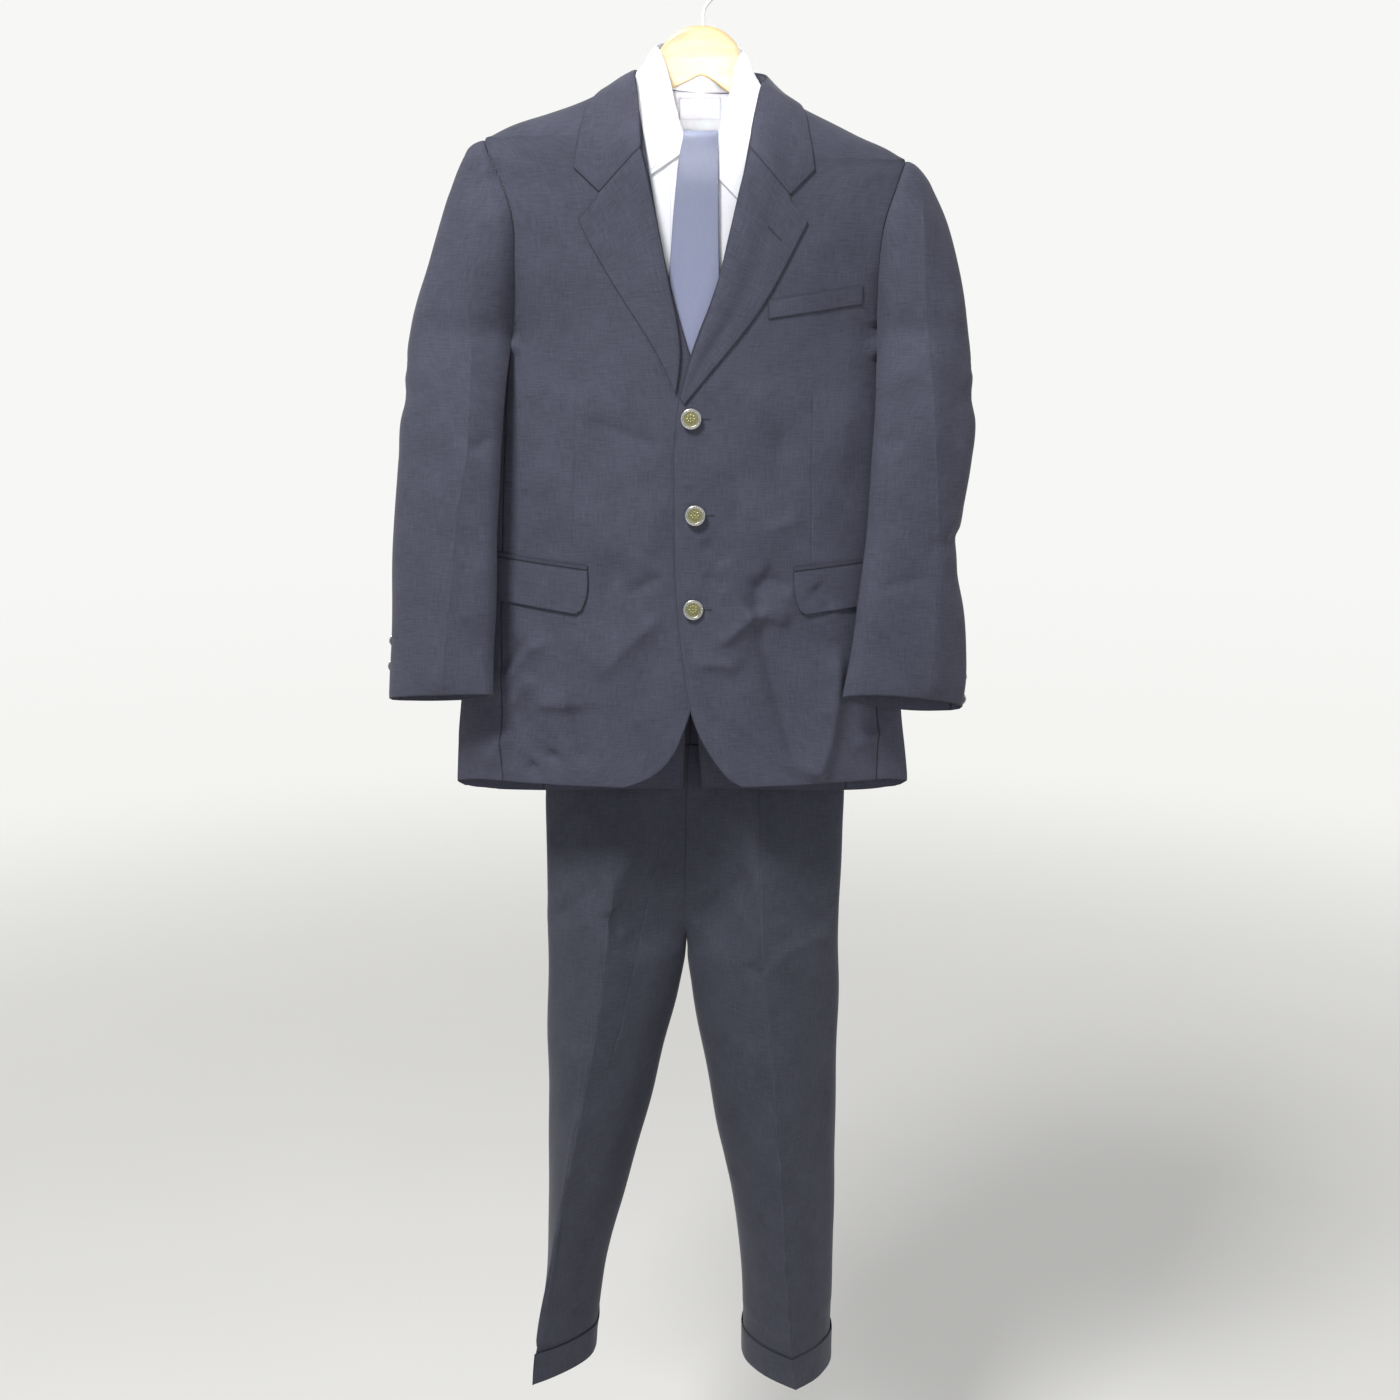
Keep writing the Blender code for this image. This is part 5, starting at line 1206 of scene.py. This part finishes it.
# Varnished beech: short fine pores along the length, slow growth bands, and a deeper honey on the faces
# that look upwards.
beech, tree, shader = new_finish("varnished beech", 0.38, Coat_Weight=0.25, Coat_Roughness=0.2)
place = spot(tree)
growth = ranged(tree, noise(tree, place, 2.0, (9, 60, 60), Detail=4.0, Distortion=0.6), 0.35, 0.68)
pores = noise(tree, place, 1.0, (140, 1600, 1600), Detail=2.0)
wood = blended(tree, growth, "#CDAE7E", "#D6BB90")
flecked = blended(tree, ranged(tree, pores, 0.6, 0.75, end=0.35), wood, "#BE9A68")
normal = add_node(tree, "ShaderNodeNewGeometry").outputs["Normal"]
upwards = add_node(tree, "ShaderNodeSeparateXYZ", inputs={"Vector": normal}).outputs["Z"]
honey = blended(tree, ranged(tree, upwards, 0.15, 0.9, end=0.75), flecked, "#CBA060")
finish_with(tree, shader, honey, relief=pores, strength=0.12)
place_piece("beech_hanger", skin("beech_hanger", hanger_sections(), beech), "pale_wood", "hanger_wood")

# Dipped plastic: glossy white with slow ripples where it ran, slightly uneven in its tone and gloss.
dipped, tree, shader = new_finish("white dipped plastic", 0.3, Specular_IOR_Level=0.5)
runs = noise(tree, spot(tree), 160.0, Detail=2.0)
finish_with(tree, shader, blended(tree, runs, "#E4E5E6", "#EDEDEE"), ranged(tree, runs, start=0.24, end=0.4),
            runs, strength=0.15, distance=0.0004)
hook_path = [(x, 0, z) for x, z in HOOK_LINE]
place_piece("hanger_hook_wire", wire_mesh("hanger_hook_wire", hook_path, 1.6, dipped), "white_wire",
            "hanger_hook")

# -------------------------------------------------------------------------------------------- the clip hanger
# The trousers hang on their own wire hanger: one steel wire, dipped in the same white plastic, hooked beside
# the wooden hanger's neck, and a cross bar with two sprung clips of bright plated steel that grip the
# waistband.

WIRE_Y = 62.3  # mm: the clip hanger hangs behind the blazer
stem = [(3.2, WIRE_Y, -749.6), (3.2, WIRE_Y, -600), (3.2, WIRE_Y, -400), (3.2, WIRE_Y, -200), (3.2, 62, -112),
        (3.3, 60.6, -88), (3.3, 54, -68), (3.4, 42, -58), (3.5, 24, -54.5), (3.5, 11, -51.5),
        (3.5, 5.4, -47)]
stem += [(x, 3.7, z) for x, z in HOOK_LINE[2:]]
bar = [(x, WIRE_Y, -752.1) for x in (-150, -60, 50, 140)]
for part, path, radius, sides, step in (("wire", stem, 1.5, 12, 2.5), ("bar", bar, 2.0, 14, 8)):
    mesh = wire_mesh(f"trouser_hanger_{part}", path, radius, dipped, sides, step)
    place_piece(f"trouser_hanger_{part}", mesh, "white_wire", f"clip_hanger_{part}")

# Bright nickel plate over pressed steel: fine drawing lines run round each clip, some brighter, some duller.
nickel, tree, shader = new_finish("bright nickel plate", 0.28, Metallic=1.0)
drawn = noise(tree, spot(tree), 1.0, (2400, 60, 60), Detail=3.0)
finish_with(tree, shader, blended(tree, drawn, "#A9A8A2", "#D2D1CB"),
            ranged(tree, drawn, start=0.22, end=0.42))
CLIP = np.array([
    # y and z of the folded strip in section: over its outer side from foot to foot, and back along the inside
    (53.2, -788), (53.2, -749.5), (55.4, -747.3), (69.6, -747.3), (71.8, -749.5), (71.8, -788),
    (69.95, -788), (69.95, -751), (68.4, -749.4), (56.6, -749.4), (55.05, -751), (55.05, -788),
])
# x from the clip's middle, and the share of the strip's thickness that is taken off there
CLIP_ENDS = ((-11, 0.45), (-10.55, 0), (10.55, 0), (11, 0.45))
for side, middle in (("left", 105), ("right", -115)):
    points = []
    for x, inset in CLIP_ENDS:
        pulled = CLIP + (CLIP[::-1] - CLIP) / 2 * inset
        points += [(middle + x, y, z) for y, z in pulled]
    size = len(CLIP)
    faces = band(size, len(CLIP_ENDS))
    for first in (0, (len(CLIP_ENDS) - 1) * size):
        faces += [(first + i, first + i + 1, first + size - 2 - i, first + size - 1 - i)
                  for i in range(size // 2 - 1)]
    place_piece(f"clip_{side}_steel", shell(f"clip_{side}", points, faces, nickel), "silver_metal",
                f"clip_{side}")

# --------------------------------------------------------------------------------- the blazer's metal buttons
# Domed shank buttons, cast in white metal: a beaded rim round a sunk brass-coloured centre with a plain
# rosette. The front ones are 21 mm across and the cuff ones 15 mm. Each front one is passed through a worked
# buttonhole.


def ring_of_beads_tree():
    """Beads set evenly round a ring: inputs for how many, how far out and how big."""
    tree, given = open_tree("ring of beads", "Beads", Base="Geometry", Count="Int", Ring="Float",
                            Bead="Float", Height="Float", Metal="Material")
    ring = add_node(tree, "GeometryNodeMeshCircle",
                    inputs={"Vertices": given["Count"], "Radius": given["Ring"]})
    lift = add_node(tree, "ShaderNodeCombineXYZ", inputs={"Z": given["Height"]})
    raised = add_node(tree, "GeometryNodeTransform", inputs={
        "Geometry": ring.outputs["Mesh"], "Translation": lift.outputs["Vector"],
    })
    bead = add_node(tree, "GeometryNodeMeshIcoSphere", inputs={"Radius": given["Bead"], "Subdivisions": 2})
    laid = add_node(tree, "GeometryNodeInstanceOnPoints", inputs={
        "Points": raised.outputs["Geometry"], "Instance": bead.outputs["Mesh"],
    })
    both = add_node(tree, "GeometryNodeJoinGeometry")
    for part in (given["Base"], laid.outputs["Instances"]):
        tree.links.new(part, both.inputs["Geometry"])
    return close_tree(tree, "Beads", both.outputs["Geometry"], given["Metal"])


def cast_metal(name, light_code, dark_code, roughness):
    """Cast and tumbled metal: bright on what stands proud, darker and duller in the hollows of the
    casting."""
    material, tree, shader = new_finish(name, roughness, Metallic=0.9)
    cast = noise(tree, spot(tree), 700.0, Detail=3.0)
    pointed = add_node(tree, "ShaderNodeNewGeometry").outputs["Pointiness"]
    proud = add_node(tree, "ShaderNodeMath", {"operation": "MULTIPLY_ADD", "use_clamp": True}, {
        0: cast, 1: 0.35, 2: ranged(tree, pointed, 0.44, 0.54),
    }).outputs[0]
    finish_with(tree, shader, blended(tree, proud, dark_code, light_code),
                ranged(tree, proud, start=roughness + 0.2, end=roughness - 0.05), cast, distance=0.0002)
    return material


def lathe(profile, sides, wide, deep):
    """The rings of a turned shape from its profile of (height, radius), each scaled."""
    turns = np.linspace(0, 2 * math.pi, sides, endpoint=False)
    return [np.stack([np.cos(turns) * (radius * wide), np.sin(turns) * (radius * wide),
                      np.full(sides, height * deep)], axis=1) for height, radius in profile]


BUTTON = [
    # height and radius, from the shank out over the back, round the rim and into the centre
    (0.0, 1.5), (0.1, 2.2), (2.5, 2.4), (2.7, 4.5), (2.75, 8.3), (2.9, 9.2), (3.3, 10.0), (3.9, 10.45),
    (4.5, 10.5), (5.05, 10.25), (5.35, 9.8), (5.4, 9.4), (5.25, 9.1), (5.2, 8.5), (5.35, 8.2), (5.45, 7.9),
    (5.35, 7.6), (4.95, 7.3), (4.75, 6.9), (4.75, 6.0), (4.85, 4.0), (4.95, 2.0), (5.0, 0.3),
]
BUTTON_RADIUS, BUTTON_HEIGHT = 10.5, 6.1  # mm: the size that the profiles are drawn at
BOSS = [(4.8, 1.4), (5.3, 1.3), (5.6, 0.9), (5.75, 0.4)]


def button_mesh(name, radius, thickness):
    """A shank button with its back at height 0, facing +Z, in mm scaled to its size."""
    wide, deep = radius / BUTTON_RADIUS, thickness / BUTTON_HEIGHT
    rim = skin(name, lathe(BUTTON[:18] + [(4.7, 7.2)], 44, wide, deep), white_metal)
    host = grown(f"{name}_rim", beads, rim, Count=34, Ring=8.8 * wide / 1000, Bead=0.52 * wide / 1000,
                 Height=5.2 * deep / 1000, Metal=white_metal)
    parts = [host.data]
    bpy.data.objects.remove(host)
    parts.append(skin(f"{name}_centre", lathe([(4.4, 7.4)] + BUTTON[17:], 36, wide, deep), brass))
    for petal in range(8):
        turn = petal * math.pi / 4
        rings = []
        for share in np.linspace(0.08, 0.92, 7):
            width = 1.15 * math.sin(math.pi * share) ** 0.8
            out = 1.5 + 3.9 * share
            rings.append([((out * math.cos(turn) - width * math.cos(k) * math.sin(turn)) * wide,
                           (out * math.sin(turn) + width * math.cos(k) * math.cos(turn)) * wide,
                           (4.85 + 0.55 * math.sin(math.pi * share) * max(math.sin(k), -0.4)) * deep)
                          for k in np.linspace(0, 2 * math.pi, 8, endpoint=False)])
        parts.append(skin(f"{name}_petal", rings, brass))
    parts.append(skin(f"{name}_boss", lathe(BOSS, 16, wide, deep), brass))
    joined, finishes = bmesh.new(), [white_metal, brass]
    for part in parts:
        start = len(joined.faces)
        joined.from_mesh(part)
        joined.faces.ensure_lookup_table()
        for face in joined.faces[start:]:
            face.material_index = finishes.index(part.materials[0])
            face.smooth = True
    mesh = bpy.data.meshes.new(name)
    joined.to_mesh(mesh)
    joined.free()
    for finish in finishes:
        mesh.materials.append(finish)
    return mesh


def seat_of(node, outwards):
    """Where a CAD button sits: the middle of its back, the way it faces, its radius and its thickness, in
    mm."""
    points = np.array([vert.co[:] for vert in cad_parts[node].data.vertices]) * 1000
    points = np.unique(points.round(3), axis=0)
    centre = (points.min(axis=0) + points.max(axis=0)) / 2
    way = np.linalg.svd(points - points.mean(axis=0))[2][2]
    way *= np.sign(way @ outwards) or 1
    heights = (points - centre) @ way
    aside = np.linalg.norm((points - centre) - heights[:, None] * way, axis=1)
    return centre + way * heights.min(), way, aside.max(), np.ptp(heights)


def seated(mesh, base, way):
    """A mesh that faced +Z from the origin, turned and moved onto its seat."""
    mesh.transform(Vector((0, 0, 1)).rotation_difference(Vector(way)).to_matrix().to_4x4())
    mesh.transform(Matrix.Translation(Vector(base / 1000)))
    return mesh


white_metal = cast_metal("tumbled white metal", "#B4B4AF", "#4E4E4A", 0.36)
brass = cast_metal("aged brass finish", "#97946C", "#3F3D2A", 0.42)
beads = ring_of_beads_tree()
for node in sorted(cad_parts):
    if node.startswith(("front_button", "cuff_button")):
        across = 1.0 if "left" in node else -1.0
        outwards = (0.0, -1.0, 0.0) if node.startswith("front") else (across, 0.3, 0.0)
        base, way, radius, thickness = seat_of(node, np.array(outwards))
        mesh = seated(button_mesh(f"{node}_metal", radius, thickness), base, way)
        place_piece(f"{node}_metal", mesh, "silver_metal", node)

# Each buttonhole is a slit worked round with silk twist of the cloth's own colour.
silk_twist = spun_thread("dark silk buttonhole twist", "#2C2D37", "#1B1B22")


def buttonhole(name, host, start, end, width=1.1):
    """A worked slit on a piece of cloth, from start to end (x, z) in mm."""
    cloth = host.data
    tree = BVHTree.FromPolygons([vert.co for vert in cloth.vertices],
                                [face.vertices for face in cloth.polygons])
    first, last = np.array(start, float), np.array(end, float)
    along = (last - first) / np.linalg.norm(last - first)
    aside = np.array([-along[1], along[0]])
    corners = [first + aside * width / 2, last + aside * width / 2, last + along * 0.6,
               last - aside * width / 2, first - aside * width / 2, first - along * 0.6,
               first + aside * width / 2]
    path = []
    for here, there in zip(corners, corners[1:]):
        for share in np.linspace(0, 1, 9)[:-1]:
            x, z = here + (there - here) * share
            hit = tree.ray_cast(Vector((x / 1000, -1, z / 1000)), Vector((0, 1, 0)))[0]
            path.append((x / 1000, hit.y - 0.00012, z / 1000))
    return stitch(name, [path + path[:1]], silk_twist, pitch=0.00055, length=0.0006,
                  thickness=0.00085)


for name, x, z in (("top", -9, -434), ("middle", -5, -531), ("low", -7, -628)):
    buttonhole(f"buttonhole_{name}", fronts["left"], (x + 4, z), (x + 19, z - 0.5))
buttonhole("buttonhole_lapel", lapels["left"], (67, -248), (79, -260), width=0.9)

# A popper on the turn-up's inner side: its stud is pressed brass, plated nearly black.
black_plate = cast_metal("black plated brass", "#5A5A60", "#1E1E22", 0.32)
base, way, radius, thickness = seat_of("turn_up_snap", np.array([0.4, -1.0, 0.2]))
POPPER = [(0.0, 4.9), (0.2, 5.2), (0.9, 5.4), (1.4, 5.35), (1.75, 5.0), (1.85, 4.5), (1.65, 3.9), (1.5, 3.2),
          (1.6, 2.7), (2.3, 2.5), (2.7, 2.2), (2.9, 1.6), (2.85, 1.0), (2.6, 0.5)]
mesh = skin("turn_up_popper", lathe(POPPER, 32, radius / 5.4, thickness / 2.9), black_plate)
place_piece("turn_up_popper", seated(mesh, base, way), "dark_snap", "turn_up_snap")
